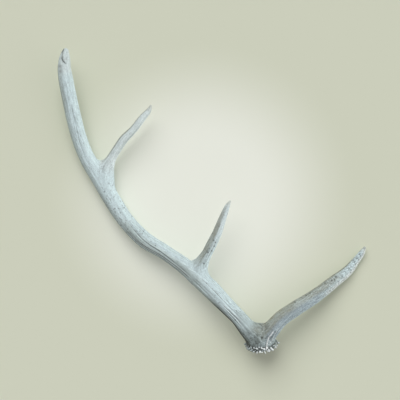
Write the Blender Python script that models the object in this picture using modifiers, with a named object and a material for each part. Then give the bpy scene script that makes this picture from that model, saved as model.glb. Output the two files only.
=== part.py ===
"""A shed deer antler lying on a flat surface, at its real size.

The antler is one grown bone: a beam with a pearled burr at its foot and a broken tip, and three
tines. It is shaped whole, so that the grain runs on through every fork, and is then parted into
four solids at its main forks.

Frame: +Z up, X and Y as seen from above, the burr towards -Y. The origin is the middle of the
antler's footprint, on the surface that it lies on. Sizes here are millimetres, the model is metres.
"""

import math
import random
from typing import NamedTuple

import bmesh
import bpy
import numpy as np
from mathutils import Matrix, Vector

MM = 0.001


class Station(NamedTuple):
    """A place on a branch: its centre, and its full size seen from above and from top to bottom."""

    x: float
    y: float
    z: float
    width: float
    depth: float


class Groove(NamedTuple):
    """A channel along a branch, or a ridge where its depth is negative.

    start and end are distances from the branch's foot. The angles are degrees round the branch,
    0 on its right, seen from its foot, and 90 on top.
    """

    start: float
    end: float
    angle_start: float
    angle_end: float
    width: float
    depth: float


class Fork(NamedTuple):
    """Where a tine leaves the beam: the flat that parts it, and the box over the tine."""

    x: float
    y: float
    z: float
    direction: tuple
    reach: float
    size: float


# The branches, from foot to tip.
BEAM = (
    Station(85.0, -244.5, 27.3, 47.0, 46.0),
    Station(82.0, -236.0, 31.2, 48.0, 44.0),
    Station(73.4, -226.4, 35.5, 40.5, 38.0),
    Station(60.5, -214.9, 38.5, 30.7, 32.0),
    Station(47.9, -200.1, 39.0, 26.8, 29.0),
    Station(23.3, -175.1, 38.5, 28.1, 28.0),
    Station(-8.9, -142.4, 36.5, 32.0, 27.0),
    Station(-44.8, -111.5, 32.5, 28.5, 26.5),
    Station(-81.8, -85.9, 28.5, 25.6, 25.5),
    Station(-114.0, -66.1, 24.5, 28.0, 25.5),
    Station(-146.2, -33.2, 18.5, 27.5, 26.0),
    Station(-174.2, 10.2, 13.5, 29.8, 27.0),
    Station(-193.0, 43.0, 14.0, 30.0, 25.0),
    Station(-212.9, 75.1, 16.5, 26.0, 25.0),
    Station(-225.9, 107.9, 19.5, 25.5, 24.5),
    Station(-234.6, 140.9, 23.5, 25.8, 24.5),
    Station(-241.5, 174.0, 28.5, 25.2, 24.0),
    Station(-247.7, 206.6, 34.0, 24.4, 22.5),
    Station(-250.3, 229.4, 38.0, 21.6, 19.0),
    Station(-248.7, 246.0, 41.0, 17.4, 15.0),
    Station(-246.6, 258.0, 43.0, 8.6, 7.0),
)
BROW_TINE = (
    Station(86.4, -238.3, 33.0, 31.0, 36.0),
    Station(94.2, -226.1, 36.0, 30.6, 34.0),
    Station(102.7, -215.1, 38.0, 29.6, 32.0),
    Station(116.3, -199.9, 38.5, 26.4, 28.0),
    Station(140.2, -183.2, 36.0, 25.4, 26.0),
    Station(175.2, -162.2, 26.0, 23.6, 22.5),
    Station(209.2, -137.7, 13.5, 21.0, 19.0),
    Station(235.2, -117.2, 7.8, 17.2, 15.5),
    Station(248.2, -101.1, 6.2, 12.9, 11.5),
    Station(258.6, -87.0, 7.5, 9.6, 8.5),
    Station(263.0, -78.5, 9.5, 4.8, 4.5),
)
MIDDLE_TINE = (
    Station(-23.6, -128.4, 33.5, 43.0, 24.0),
    Station(-21.9, -114.3, 36.5, 33.0, 22.0),
    Station(-15.6, -101.1, 39.0, 24.4, 19.0),
    Station(-7.4, -86.6, 41.5, 18.2, 16.5),
    Station(-0.7, -73.1, 43.5, 17.4, 16.0),
    Station(10.0, -50.5, 47.0, 15.8, 15.0),
    Station(17.5, -30.0, 50.0, 13.0, 12.5),
    Station(22.3, -17.6, 52.0, 11.0, 10.5),
    Station(26.2, -8.0, 53.5, 8.6, 8.0),
    Station(31.0, 1.2, 55.0, 3.6, 3.5),
)
UPPER_TINE = (
    Station(-172.0, 4.0, 13.5, 18.0, 18.0),
    Station(-178.5, 24.0, 14.5, 27.0, 21.0),
    Station(-181.9, 40.0, 15.5, 31.6, 22.0),
    Station(-179.6, 56.6, 18.0, 28.6, 19.0),
    Station(-172.0, 72.2, 21.0, 19.2, 15.5),
    Station(-163.5, 86.0, 24.0, 15.4, 13.5),
    Station(-150.0, 105.4, 28.5, 15.2, 13.0),
    Station(-133.5, 121.9, 33.0, 13.2, 11.5),
    Station(-116.9, 142.8, 38.0, 11.8, 9.5),
    Station(-105.3, 156.7, 41.0, 7.6, 6.5),
    Station(-103.0, 163.0, 43.0, 3.6, 3.5),
)

# The grain. On the beam one long channel parts the upper face from the flatter lower-left one.
BEAM_GRAIN = (
    Groove(0.0, 34.0, 66.0, 62.0, 4.0, -2.2),
    Groove(40.0, 125.0, 116.0, 86.0, 4.0, -1.6),
    Groove(68.0, 150.0, 92.0, 78.0, 4.0, 1.2),
    Groove(60.0, 180.0, 134.0, 126.0, 4.5, 1.2),
    Groove(110.0, 235.0, 104.0, 118.0, 4.0, 1.0),
    Groove(110.0, 345.0, 136.0, 132.0, 18.0, 2.0),
    Groove(185.0, 312.0, 128.0, 86.0, 4.2, 1.6),
    Groove(205.0, 300.0, 114.0, 76.0, 4.0, -0.7),
    Groove(300.0, 420.0, 152.0, 150.0, 12.0, 1.0),
    Groove(398.0, 530.0, 112.0, 91.0, 4.2, 1.4),
    Groove(405.0, 500.0, 100.0, 82.0, 4.0, -0.7),
    Groove(430.0, 600.0, 152.0, 146.0, 14.0, 0.9),
    Groove(505.0, 560.0, 73.0, 68.0, 3.5, 0.8),
    Groove(512.0, 592.0, 118.0, 125.0, 4.0, 0.8),
    Groove(110.0, 330.0, 30.0, 42.0, 5.0, 0.9),
    Groove(420.0, 600.0, 18.0, 30.0, 4.5, 0.8),
    Groove(70.0, 400.0, 192.0, 204.0, 5.5, 1.5),
    Groove(380.0, 590.0, 200.0, 184.0, 5.0, 1.2),
    Groove(60.0, 340.0, 252.0, 240.0, 5.5, 1.5),
    Groove(140.0, 330.0, 316.0, 330.0, 5.5, 1.4),
    Groove(410.0, 580.0, 322.0, 334.0, 5.0, 1.2),
)
BROW_GRAIN = (
    Groove(0.0, 80.0, 80.0, 64.0, 5.0, -2.0),
    Groove(0.0, 95.0, 50.0, 40.0, 4.0, 1.4),
    Groove(0.0, 110.0, 32.0, 22.0, 3.6, -0.8),
    Groove(15.0, 130.0, 14.0, 8.0, 4.0, 1.4),
    Groove(60.0, 150.0, 112.0, 104.0, 4.5, 0.8),
    Groove(30.0, 170.0, 150.0, 140.0, 4.5, 1.0),
    Groove(20.0, 200.0, 205.0, 212.0, 4.5, 1.3),
    Groove(30.0, 150.0, 290.0, 280.0, 4.5, 1.2),
)
MIDDLE_GRAIN = (
    Groove(12.0, 112.0, 98.0, 84.0, 3.5, -1.5),
    Groove(20.0, 85.0, 68.0, 60.0, 3.0, 1.0),
    Groove(10.0, 100.0, 138.0, 132.0, 9.0, 1.2),
    Groove(20.0, 100.0, 250.0, 260.0, 3.5, 1.0),
)
UPPER_GRAIN = (
    Groove(40.0, 150.0, 88.0, 76.0, 3.2, -1.0),
    Groove(40.0, 150.0, 62.0, 56.0, 3.0, 0.7),
    Groove(40.0, 150.0, 142.0, 138.0, 4.5, 0.8),
    Groove(20.0, 130.0, 270.0, 262.0, 3.5, 0.9),
)

# Fluting: shallow waves round each branch that wander along it.
FLUTES = ((7, 0.35, 210.0), (12, 0.3, 130.0), (19, 0.16, 80.0))
FULL_FLUTING = 12.0  # branches thinner than this radius are fluted less
GRAIN_FADE = 28.0  # length over which a channel sinks in and runs out
GRAIN_FADE_SHARE = 0.35  # and at most this share of the channel

# The burr: a rim that stands out from the foot of the beam, edged with pearls.
BURR_CENTRE = (85.4, -243.8, 27.4)
BURR_AXIS = (-0.055, 0.925, 0.37)
BURR_PROFILE = ((-6.0, 0.0), (-5.8, 7.0), (-5.0, 14.0), (-3.4, 19.0), (-1.2, 21.4), (-1.6, 23.2),
                (0.0, 25.2), (2.2, 25.0), (4.4, 23.4), (7.0, 21.0), (7.0, 0.0))  # along the axis, radius
PEARL_ROWS = (  # count, radius of the row, place along the axis, size out, round and along
    (29, 26.1, 0.4, 8.2, 4.2, 6.6),
    (25, 24.6, 4.8, 5.4, 3.4, 5.0),
)
PEARL_SPREAD = 0.25  # how much pearls differ in size
PEARL_STRAY = 0.25  # how far they stray round the row, in pitches
PEARL_OFFSET = (0.6, 1.2)  # how far they stray out and along
PEARL_LEAN = 25.0  # degrees
PEARL_SEED = 7
RIM_STEPS = 64

# The broken tip: a cleft that leaves a low lip on the left.
CLEFT = (  # x, y, width, length, turn in degrees
    (-252.6, 255.5, 5.0, 14.0, -12.0),
    (-254.0, 246.0, 4.6, 12.0, 4.0),
    (-250.4, 238.5, 3.6, 13.0, 34.0),
)
CLEFT_DEPTH = 14.0
CLEFT_TOP = 50.0

# Forks, each parted by a flat across the tine's root.
FORKS = {
    "brow_tine": Fork(98.0, -219.0, 38.0, (0.72, 0.69, 0.05), 260.0, 90.0),
    "middle_tine": Fork(-14.0, -102.0, 39.0, (0.50, 0.85, 0.15), 150.0, 60.0),
    "upper_tine": Fork(-175.0, 60.0, 18.5, (0.61, 0.79, 0.15), 190.0, 32.0),
}
GAP = 0.3
CUTTER_HEIGHT = 170.0

# Webs of bone that round out a crotch: centre, and radii.
WEBS = (
    (-190.6, 58.2, 16.5, 11.0, 13.5, 8.0),
    (-28.6, -106.6, 37.0, 9.5, 8.5, 7.0),
    (82.0, -214.6, 37.0, 12.0, 9.5, 9.0),
)

# Where the surface is faired, so that it flows from the beam into each tine: centre and reach.
FAIRED_SPOTS = (
    ((98.0, -219.0, 38.0), 33.0),
    ((-14.0, -108.0, 41.0), 30.0),
    ((-4.0, -124.0, 36.0), 18.0),
    ((-175.0, 60.0, 18.5), 32.0),
    ((-161.0, 16.0, 15.0), 20.0),
)
FAIRING_PASSES = 70

# Where it lies, the bone is rubbed flat this deep.
RUBBED = 0.4
SURFACE = (700.0, 700.0, 40.0)

# Fineness of the model.
RING_POINTS = 48
RING_STEP = 2.5
VOXEL = 1.2
FINE_SPOTS = ((BURR_CENTRE, 62.0), ((-249.0, 248.0, 42.0), 30.0))  # centre and reach
FINE_FACTOR = 0.001
TRIANGLES = 9000
POINT_LENGTH = 0.35  # how far a branch's round end stands past its last ring, in thicknesses
SHARP_ANGLE = 50.0  # edges sharper than this, in degrees, are shaded as edges

# The middle of the footprint in the stations' own frame.
FOOTPRINT_MIDDLE = (1.890, 1.377)

BONE = {
    "main_beam": ((0.52, 0.61, 0.63), 0.72),
    "brow_tine": ((0.36, 0.41, 0.39), 0.78),
    "middle_tine": ((0.47, 0.54, 0.54), 0.74),
    "upper_tine": ((0.54, 0.62, 0.63), 0.72),
}


def clear_scene():
    """Remove every object that a new file starts with."""
    for obj in list(bpy.data.objects):
        bpy.data.objects.remove(obj, do_unlink=True)


def new_object(name, mesh, collection):
    """Link a mesh to the scene as an object."""
    obj = bpy.data.objects.new(name, mesh)
    collection.objects.link(obj)
    return obj


def baked(obj):
    """The object's mesh with its modifiers applied."""
    bpy.context.view_layer.update()
    graph = bpy.context.evaluated_depsgraph_get()
    return bpy.data.meshes.new_from_object(obj.evaluated_get(graph), depsgraph=graph)


def smooth_path(stations):
    """Samples along a curve through the stations, and each one's distance from the foot."""
    points = np.array(stations)
    knots = np.concatenate([[0.0], np.cumsum(np.linalg.norm(np.diff(points[:, :3], axis=0), axis=1))])
    slopes = np.gradient(points, knots, axis=0)
    along = np.linspace(0.0, knots[-1], max(8, round(knots[-1] / RING_STEP)))
    i = np.clip(np.searchsorted(knots, along, side="right") - 1, 0, len(knots) - 2)
    span = (knots[i + 1] - knots[i])[:, None]
    t = ((along - knots[i])[:, None]) / span
    samples = (
        (2 * t**3 - 3 * t**2 + 1) * points[i]
        + (t**3 - 2 * t**2 + t) * span * slopes[i]
        + (3 * t**2 - 2 * t**3) * points[i + 1]
        + (t**3 - t**2) * span * slopes[i + 1]
    )
    return samples, along


def relief(angles, along, radius, grooves):
    """How far the surface stands out at one ring, for its channels, ridges and fluting."""
    height = np.zeros(len(angles))
    for waves, amount, wander in FLUTES:
        height += amount * np.cos(waves * angles + 2.0 * np.sin(2.0 * along / wander + waves))
    height *= min(1.0, radius / FULL_FLUTING)
    for groove in grooves:
        if not groove.start < along < groove.end:
            continue
        t = (along - groove.start) / (groove.end - groove.start)
        heading = math.radians(groove.angle_start + (groove.angle_end - groove.angle_start) * t)
        off = np.abs((angles - heading + math.pi) % (2 * math.pi) - math.pi) * radius
        sink = min(GRAIN_FADE, GRAIN_FADE_SHARE * (groove.end - groove.start))
        fade = min(1.0, min(along - groove.start, groove.end - along) / sink)
        height -= groove.depth * fade * np.exp(-((off / (groove.width / 2)) ** 2))
    return height


def loft(name, stations, grooves, collection):
    """A branch: oval rings along its stations, with the grain in them, and a round end."""
    samples, along = smooth_path(stations)
    tangents = np.gradient(samples[:, :3], along, axis=0)
    tangents /= np.linalg.norm(tangents, axis=1)[:, None]
    angles = np.linspace(0.0, 2 * math.pi, RING_POINTS, endpoint=False)
    mesh = bmesh.new()
    rings = []
    for (x, y, z, width, depth), distance, tangent in zip(samples, along, tangents):
        side = np.cross(tangent, (0.0, 0.0, 1.0))
        side /= np.linalg.norm(side)
        up = np.cross(side, tangent)
        out = relief(angles, distance, (width + depth) / 4, grooves)
        across = np.outer(np.cos(angles) * (width / 2 + out), side)
        upward = np.outer(np.sin(angles) * (depth / 2 + out), up)
        ring = (np.array((x, y, z)) + across + upward) * MM
        rings.append([mesh.verts.new(point) for point in ring])
    for low, high in zip(rings, rings[1:]):
        for i in range(RING_POINTS):
            j = (i + 1) % RING_POINTS
            mesh.faces.new((low[i], low[j], high[j], high[i]))
    point = samples[-1, :3] + tangents[-1] * samples[-1, 4] * POINT_LENGTH
    for ring, middle in ((rings[0], samples[0, :3]), (rings[-1], point)):
        centre = mesh.verts.new(middle * MM)
        for i in range(RING_POINTS):
            mesh.faces.new((ring[i], ring[(i + 1) % RING_POINTS], centre))
    bmesh.ops.recalc_face_normals(mesh, faces=mesh.faces)
    data = bpy.data.meshes.new(name)
    mesh.to_mesh(data)
    mesh.free()
    return new_object(name, data, collection)


def burr_frame():
    """The matrix that puts the burr's own Z along the foot of the beam."""
    axis = Vector(BURR_AXIS).normalized()
    turn = axis.to_track_quat("Z", "Y").to_matrix().to_4x4()
    return Matrix.Translation(Vector(BURR_CENTRE) * MM) @ turn


def burr_rim(collection):
    """The turned body of the burr, with the convex seal that it broke from on its underside."""
    profile = bpy.data.meshes.new("burr_rim")
    points = [(radius * MM, 0.0, height * MM) for height, radius in reversed(BURR_PROFILE)]
    profile.from_pydata(points, [(i, i + 1) for i in range(len(points) - 1)], [])
    obj = new_object("burr_rim", profile, collection)
    turned = obj.modifiers.new("turned", "SCREW")
    turned.axis = "Z"
    turned.steps = turned.render_steps = RIM_STEPS
    turned.use_merge_vertices = True
    turned.merge_threshold = 0.00001
    obj.matrix_world = burr_frame()
    return obj


def burr_pearls(collection):
    """Rows of uneven pearls round the rim of the burr."""
    chance = random.Random(PEARL_SEED)
    mesh = bmesh.new()
    frame = burr_frame()

    def stray(most):
        return chance.uniform(-most, most)

    def half(size):
        return 0.5 * size * (1.0 + stray(PEARL_SPREAD)) * MM

    for count, row_radius, height, out, across, length in PEARL_ROWS:
        for i in range(count):
            angle = 2 * math.pi * (i + stray(PEARL_STRAY)) / count
            spot = Vector((row_radius + stray(PEARL_OFFSET[0]), 0.0, height + stray(PEARL_OFFSET[1])))
            place = Matrix.Rotation(angle, 4, "Z") @ Matrix.Translation(spot * MM)
            lean = Matrix.Rotation(math.radians(stray(PEARL_LEAN)), 4, "X")
            size = Matrix.Diagonal((half(out), half(across), half(length), 1.0))
            bmesh.ops.create_icosphere(mesh, subdivisions=2, radius=1.0, matrix=frame @ place @ lean @ size)
    data = bpy.data.meshes.new("burr_pearls")
    mesh.to_mesh(data)
    mesh.free()
    return new_object("burr_pearls", data, collection)


def webs(collection):
    """The webs in the crotches."""
    mesh = bmesh.new()
    for x, y, z, *radii in WEBS:
        size = Matrix.Diagonal((*(radius * MM for radius in radii), 1.0))
        place = Matrix.Translation(Vector((x, y, z)) * MM)
        bmesh.ops.create_icosphere(mesh, subdivisions=3, radius=1.0, matrix=place @ size)
    data = bpy.data.meshes.new("webs")
    mesh.to_mesh(data)
    mesh.free()
    return new_object("webs", data, collection)


def cut_cleft(beam, cutters):
    """Open the cleft in the beam's broken tip with a row of long lens-shaped cutters."""
    for i, (x, y, width, length, degrees) in enumerate(CLEFT):
        mesh = bmesh.new()
        turn = Matrix.Rotation(math.radians(degrees), 4, "Z")
        size = Matrix.Diagonal((width * 0.5 * MM, length * 0.5 * MM, CLEFT_DEPTH * 0.5 * MM, 1.0))
        place = Matrix.Translation(Vector((x, y, CLEFT_TOP)) * MM)
        bmesh.ops.create_icosphere(mesh, subdivisions=3, radius=1.0, matrix=place @ turn @ size)
        data = bpy.data.meshes.new(f"cleft_{i}")
        mesh.to_mesh(data)
        mesh.free()
        cutter = new_object(f"cleft_{i}", data, cutters)
        cut = beam.modifiers.new(cutter.name, "BOOLEAN")
        cut.operation = "DIFFERENCE"
        cut.solver = "EXACT"
        cut.object = cutter


def fused(pieces, collection):
    """One closed skin over all the pieces."""
    whole = bmesh.new()
    for piece in pieces:
        data = baked(piece)
        data.transform(piece.matrix_world)
        whole.from_mesh(data)
        bpy.data.meshes.remove(data)
        bpy.data.objects.remove(piece)
    data = bpy.data.meshes.new("antler")
    whole.to_mesh(data)
    whole.free()
    antler = new_object("antler", data, collection)
    skin = antler.modifiers.new("skin", "REMESH")
    skin.mode = "VOXEL"
    skin.voxel_size = VOXEL * MM
    antler.data = baked(antler)
    antler.modifiers.clear()
    return antler


def places(antler):
    """The skin's vertices in millimetres."""
    points = np.empty(len(antler.data.vertices) * 3)
    antler.data.vertices.foreach_get("co", points)
    return points.reshape(-1, 3) / MM


def mark(antler, name, spots, strength=1.0):
    """A vertex group that fades out round each spot: its centre and how far it reaches."""
    points = places(antler)
    weight = np.zeros(len(points))
    for centre, reach in spots:
        near = 1.0 - np.linalg.norm(points - centre, axis=1) / reach
        weight = np.maximum(weight, np.clip(near * 2.0, 0.0, 1.0) * strength)
    group = antler.vertex_groups.new(name=name)
    for i in np.nonzero(weight > 0.01)[0]:
        group.add([int(i)], float(weight[i]), "REPLACE")
    return group


def fair_forks(antler):
    """Soften the crotches, as the bone flows from the beam into each tine."""
    group = mark(antler, "forks", FAIRED_SPOTS)
    fairing = antler.modifiers.new("fairing", "SMOOTH")
    fairing.factor = 0.5
    fairing.iterations = FAIRING_PASSES
    fairing.vertex_group = group.name
    antler.data = baked(antler)
    antler.modifiers.clear()
    antler.vertex_groups.clear()


def lighten(antler):
    """Fewer, larger triangles that keep the ridges, and smaller ones at the burr and the broken tip."""
    group = mark(antler, "fine", FINE_SPOTS, strength=0.9)
    thin = antler.modifiers.new("triangles", "DECIMATE")
    thin.vertex_group = group.name
    thin.invert_vertex_group = True
    thin.vertex_group_factor = FINE_FACTOR
    antler.data.calc_loop_triangles()
    thin.ratio = min(1.0, TRIANGLES / len(antler.data.loop_triangles))
    thin.use_collapse_triangulate = True
    antler.data = baked(antler)
    antler.modifiers.clear()
    antler.vertex_groups.clear()


def box(name, size, matrix, cutters):
    """A box cutter, its size in millimetres along its own axes, from its own origin plane up its Z."""
    mesh = bmesh.new()
    bmesh.ops.create_cube(mesh, size=1.0, matrix=Matrix.Translation((0.0, 0.0, 0.5)))
    scale = Matrix.Diagonal((*(side * MM for side in size), 1.0))
    bmesh.ops.transform(mesh, matrix=matrix @ scale, verts=mesh.verts)
    data = bpy.data.meshes.new(name)
    mesh.to_mesh(data)
    mesh.free()
    return new_object(name, data, cutters)


def lay_down(antler, cutters):
    """Put the lowest points a little under the surface, rub them flat on it, and centre the footprint."""
    lowest = places(antler)[:, 2].min()
    move = Vector((*FOOTPRINT_MIDDLE, lowest + RUBBED)) * -MM
    antler.data.transform(Matrix.Translation(move))
    surface = box("surface", SURFACE, Matrix.Rotation(math.pi, 4, "X"), cutters)
    rub = antler.modifiers.new("rub", "BOOLEAN")
    rub.operation = "DIFFERENCE"
    rub.solver = "EXACT"
    rub.object = surface


def fork_cutter(name, fork, back, cutters):
    """A box over a tine, whose base is the flat across its root, moved back towards the beam."""
    direction = Vector(fork.direction).normalized()
    start = Vector((fork.x, fork.y, fork.z)) - Vector((*FOOTPRINT_MIDDLE, 0.0)) - direction * back
    matrix = Matrix.Translation(start * MM) @ direction.to_track_quat("Z", "Y").to_matrix().to_4x4()
    return box(name, (fork.size, CUTTER_HEIGHT, fork.reach), matrix, cutters)


def part_at_forks(antler, collection, cutters):
    """The antler's four solids: each tine, and the beam that is left."""
    for name, fork in FORKS.items():
        tine = new_object(name, antler.data, collection)
        keep = tine.modifiers.new("root", "BOOLEAN")
        keep.operation = "INTERSECT"
        keep.solver = "EXACT"
        keep.object = fork_cutter(f"{name}_root", fork, 0.0, cutters)
        tine.data = baked(tine)
        tine.modifiers.clear()
        part = antler.modifiers.new(name, "BOOLEAN")
        part.operation = "DIFFERENCE"
        part.solver = "EXACT"
        part.object = fork_cutter(f"{name}_stub", fork, GAP, cutters)
    antler.name = "main_beam"
    antler.data = baked(antler)
    antler.data.name = "main_beam"
    antler.modifiers.clear()


def dress(collection):
    """Give each solid its weathered bone colour and smooth shading."""
    for obj in collection.objects:
        colour, roughness = BONE[obj.name]
        bone = bpy.data.materials.new(f"{obj.name}_bone")
        bone.use_nodes = True
        shader = bone.node_tree.nodes["Principled BSDF"]
        shader.inputs["Base Color"].default_value = (*colour, 1.0)
        shader.inputs["Roughness"].default_value = roughness
        shader.inputs["Metallic"].default_value = 0.0
        obj.data.materials.clear()
        obj.data.materials.append(bone)
        obj.data.shade_smooth()
        obj.data.set_sharp_from_angle(angle=math.radians(SHARP_ANGLE))


def build():
    """Model the antler."""
    clear_scene()
    parts = bpy.data.collections.new("deer_antler")
    cutters = bpy.data.collections.new("cutters")
    for collection in (parts, cutters):
        bpy.context.scene.collection.children.link(collection)
    beam = loft("beam", BEAM, BEAM_GRAIN, parts)
    cut_cleft(beam, cutters)
    pieces = [
        beam,
        loft("brow", BROW_TINE, BROW_GRAIN, parts),
        loft("middle", MIDDLE_TINE, MIDDLE_GRAIN, parts),
        loft("upper", UPPER_TINE, UPPER_GRAIN, parts),
        webs(parts),
        burr_rim(parts),
        burr_pearls(parts),
    ]
    antler = fused(pieces, parts)
    fair_forks(antler)
    lighten(antler)
    lay_down(antler, cutters)
    antler.data = baked(antler)
    antler.modifiers.clear()
    part_at_forks(antler, parts, cutters)
    for cutter in cutters.objects:
        cutter.hide_render = True
        cutter.display_type = "WIRE"
    dress(parts)


build()
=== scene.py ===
"""A shed deer antler lying on a pale studio floor, seen from straight above.

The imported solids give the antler's place, size and weight. This script grows the same antler as one
finely modelled skin: branches lofted through their stations, fused and faired at the forks, then
carved with the grain, pores and broken tip of weathered bone. Lengths on the antler are millimetres
until its mesh is finished, and metres after that.
"""

import logging
import math
import random
from collections.abc import Callable
from dataclasses import dataclass
from enum import Enum
from typing import NamedTuple

import bmesh
import bpy
import numpy as np
from mathutils import Matrix, Vector, noise


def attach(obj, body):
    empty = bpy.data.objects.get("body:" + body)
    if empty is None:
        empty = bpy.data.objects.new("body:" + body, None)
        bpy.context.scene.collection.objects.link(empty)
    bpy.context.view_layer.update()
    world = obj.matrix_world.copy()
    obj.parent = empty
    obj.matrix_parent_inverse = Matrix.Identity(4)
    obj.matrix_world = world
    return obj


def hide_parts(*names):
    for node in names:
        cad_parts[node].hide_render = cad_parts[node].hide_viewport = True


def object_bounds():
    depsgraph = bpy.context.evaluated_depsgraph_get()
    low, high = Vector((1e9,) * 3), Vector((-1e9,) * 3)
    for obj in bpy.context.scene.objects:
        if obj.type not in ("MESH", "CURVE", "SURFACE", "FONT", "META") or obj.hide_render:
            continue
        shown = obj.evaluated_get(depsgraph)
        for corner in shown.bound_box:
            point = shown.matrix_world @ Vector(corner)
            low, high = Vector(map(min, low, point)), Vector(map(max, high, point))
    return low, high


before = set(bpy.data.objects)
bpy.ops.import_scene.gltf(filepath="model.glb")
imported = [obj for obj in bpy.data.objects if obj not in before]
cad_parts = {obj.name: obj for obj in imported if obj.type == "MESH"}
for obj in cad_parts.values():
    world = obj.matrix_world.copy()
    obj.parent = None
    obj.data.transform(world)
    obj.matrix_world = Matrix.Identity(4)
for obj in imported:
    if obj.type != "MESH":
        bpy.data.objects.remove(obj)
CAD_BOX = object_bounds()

log = logging.getLogger("antler")

MM = 0.001
BODY = "root"
# The radius in millimetres from which a branch carries the full relief.
FULL_RELIEF_RADIUS = 12.0
# The degrees over which a stain fades at its sides.
STAIN_SOFTNESS = 30.0
# How far apart the noises of two neighbouring seeds are read.
SEED_STEP = (17.3, 5.1, 9.7)
# The millimetres that set the tines' patterns apart from the beam's, and from each other's.
TINE_SHIFT = 1000.0
TINE_STEP = 500.0
# How quickly the skin of a fork turns from beam to tine.
FORK_SHARPNESS = 1.4
# The fewest samples along a branch.
FEWEST_RINGS = 8

Array = np.ndarray
Colour = tuple[float, float, float]
Line = tuple[tuple[float, float], ...]
Socket = bpy.types.NodeSocket
Values = dict[str | int, object]


# ---------------------------------------------------------------- the antler's shape


class Station(NamedTuple):
    """A place on a branch: its centre, and its full size seen from above and from top to bottom."""

    x: float
    y: float
    z: float
    width: float
    depth: float


class Groove(NamedTuple):
    """A channel along a branch, or a ridge where its depth is negative.

    start and end are distances from the branch's foot. The angles are degrees round the branch,
    0 on its right, seen from its foot, and 90 on top. dirt is how dark its bottom is, from 0 to 1,
    or how white a ridge is rubbed, from 0 to -1.
    """

    start: float
    end: float
    angle_start: float
    angle_end: float
    width: float
    depth: float
    dirt: float = 0.0


class Fibre(NamedTuple):
    """A noise along the grain: its lumps' size across and along it, its height and its seed."""

    across: float
    along: float
    height: float
    seed: int


class Flute(NamedTuple):
    """Shallow waves round a branch: how many, how high, and over what length they wander."""

    waves: int
    height: float
    wander: float


class Ridge(NamedTuple):
    """A thin raised line seen from above: its points, its half width, its height and how white it is."""

    line: Line
    width: float
    height: float
    white: float


class Pit(NamedTuple):
    """A pore in the upper side of the bone: its place from above, its radius and its depth."""

    x: float
    y: float
    radius: float
    depth: float


class Web(NamedTuple):
    """A ball of bone that rounds out a crotch: its centre and its half lengths."""

    x: float
    y: float
    z: float
    across: float
    along: float
    high: float


class Spot(NamedTuple):
    """A ball round a place, in which something is done less and less towards its edge."""

    x: float
    y: float
    z: float
    reach: float


class Weather(Enum):
    """What colours a patch of bone: mostly what age did to it, and on some patches painted shade and painted
    light.
    """

    GRIME = "grime"
    BROWN = "brown"
    ALGAE = "algae"
    BLEACH = "bleach"
    SLATE = "slate"
    SOIL = "soil"
    CREAM = "cream"


class Stain(NamedTuple):
    """A patch on a branch: mostly real weathering, with some patches of painted shade and painted light.

    It runs from start to end along the branch and fades out over fade. Round the branch it reaches so many
    degrees both ways from its middle angle, and softens over another STAIN_SOFTNESS degrees.
    """

    kind: Weather
    start: float
    end: float
    fade: float
    middle: float
    reach: float
    amount: float


BEAM_STATIONS = (
    Station(85, -244.5, 27.3, 47, 46),
    Station(82, -236, 31.2, 48, 44),
    Station(73.4, -226.4, 35.5, 40.5, 38),
    Station(60.5, -214.9, 38.5, 30.7, 32),
    Station(47.9, -200.1, 39, 26.8, 29),
    Station(23.3, -175.1, 38.5, 28.1, 28),
    Station(-8.9, -142.4, 36.5, 32, 27),
    Station(-44.8, -111.5, 32.5, 28.5, 26.5),
    Station(-81.8, -85.9, 28.5, 25.6, 25.5),
    Station(-114, -66.1, 24.5, 28, 25.5),
    Station(-146.2, -33.2, 18.5, 27.5, 26),
    Station(-174.2, 10.2, 13.5, 29.8, 27),
    Station(-193, 43, 14, 30, 25),
    Station(-212.9, 75.1, 16.5, 26, 25),
    Station(-225.9, 107.9, 19.5, 25.5, 24.5),
    Station(-234.6, 140.9, 23.5, 25.8, 24.5),
    Station(-241.5, 174, 28.5, 25.2, 24),
    Station(-247.7, 206.6, 34, 24.4, 22.5),
    Station(-250.3, 229.4, 38, 21.6, 19),
    Station(-248.7, 246, 41, 17.4, 15),
    Station(-246.6, 258, 43, 8.6, 7),
)
BROW_STATIONS = (
    Station(86.4, -238.3, 33, 31, 36),
    Station(94.2, -226.1, 36, 30.6, 34),
    Station(102.7, -215.1, 38, 29.6, 32),
    Station(116.3, -199.9, 38.5, 26.4, 28),
    Station(140.2, -183.2, 36, 25.4, 26),
    Station(175.2, -162.2, 26, 23.6, 22.5),
    Station(209.2, -137.7, 13.5, 21, 19),
    Station(235.2, -117.2, 7.8, 17.2, 15.5),
    Station(248.2, -101.1, 6.2, 12.9, 11.5),
    Station(258.6, -87, 7.5, 9.6, 8.5),
    Station(263, -78.5, 9.5, 4.8, 4.5),
)
MIDDLE_STATIONS = (
    Station(-23.6, -128.4, 33.5, 43, 24),
    Station(-21.9, -114.3, 36.5, 33, 22),
    Station(-15.6, -101.1, 39, 24.4, 19),
    Station(-7.4, -86.6, 41.5, 18.2, 16.5),
    Station(-0.7, -73.1, 43.5, 17.4, 16),
    Station(10, -50.5, 47, 15.8, 15),
    Station(17.5, -30, 50, 13, 12.5),
    Station(22.3, -17.6, 52, 11, 10.5),
    Station(26.2, -8, 53.5, 8.6, 8),
    Station(31, 1.2, 55, 3.6, 3.5),
)
UPPER_STATIONS = (
    Station(-172, 4, 13.5, 18, 18),
    Station(-178.5, 24, 14.5, 27, 21),
    Station(-181.9, 40, 15.5, 31.6, 22),
    Station(-179.6, 56.6, 18, 28.6, 19),
    Station(-172, 72.2, 21, 19.2, 15.5),
    Station(-163.5, 86, 24, 15.4, 13.5),
    Station(-150, 105.4, 28.5, 15.2, 13),
    Station(-133.5, 121.9, 33, 13.2, 11.5),
    Station(-116.9, 142.8, 38, 11.8, 9.5),
    Station(-105.3, 156.7, 41, 7.6, 6.5),
    Station(-103, 163, 43, 3.6, 3.5),
)
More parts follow.
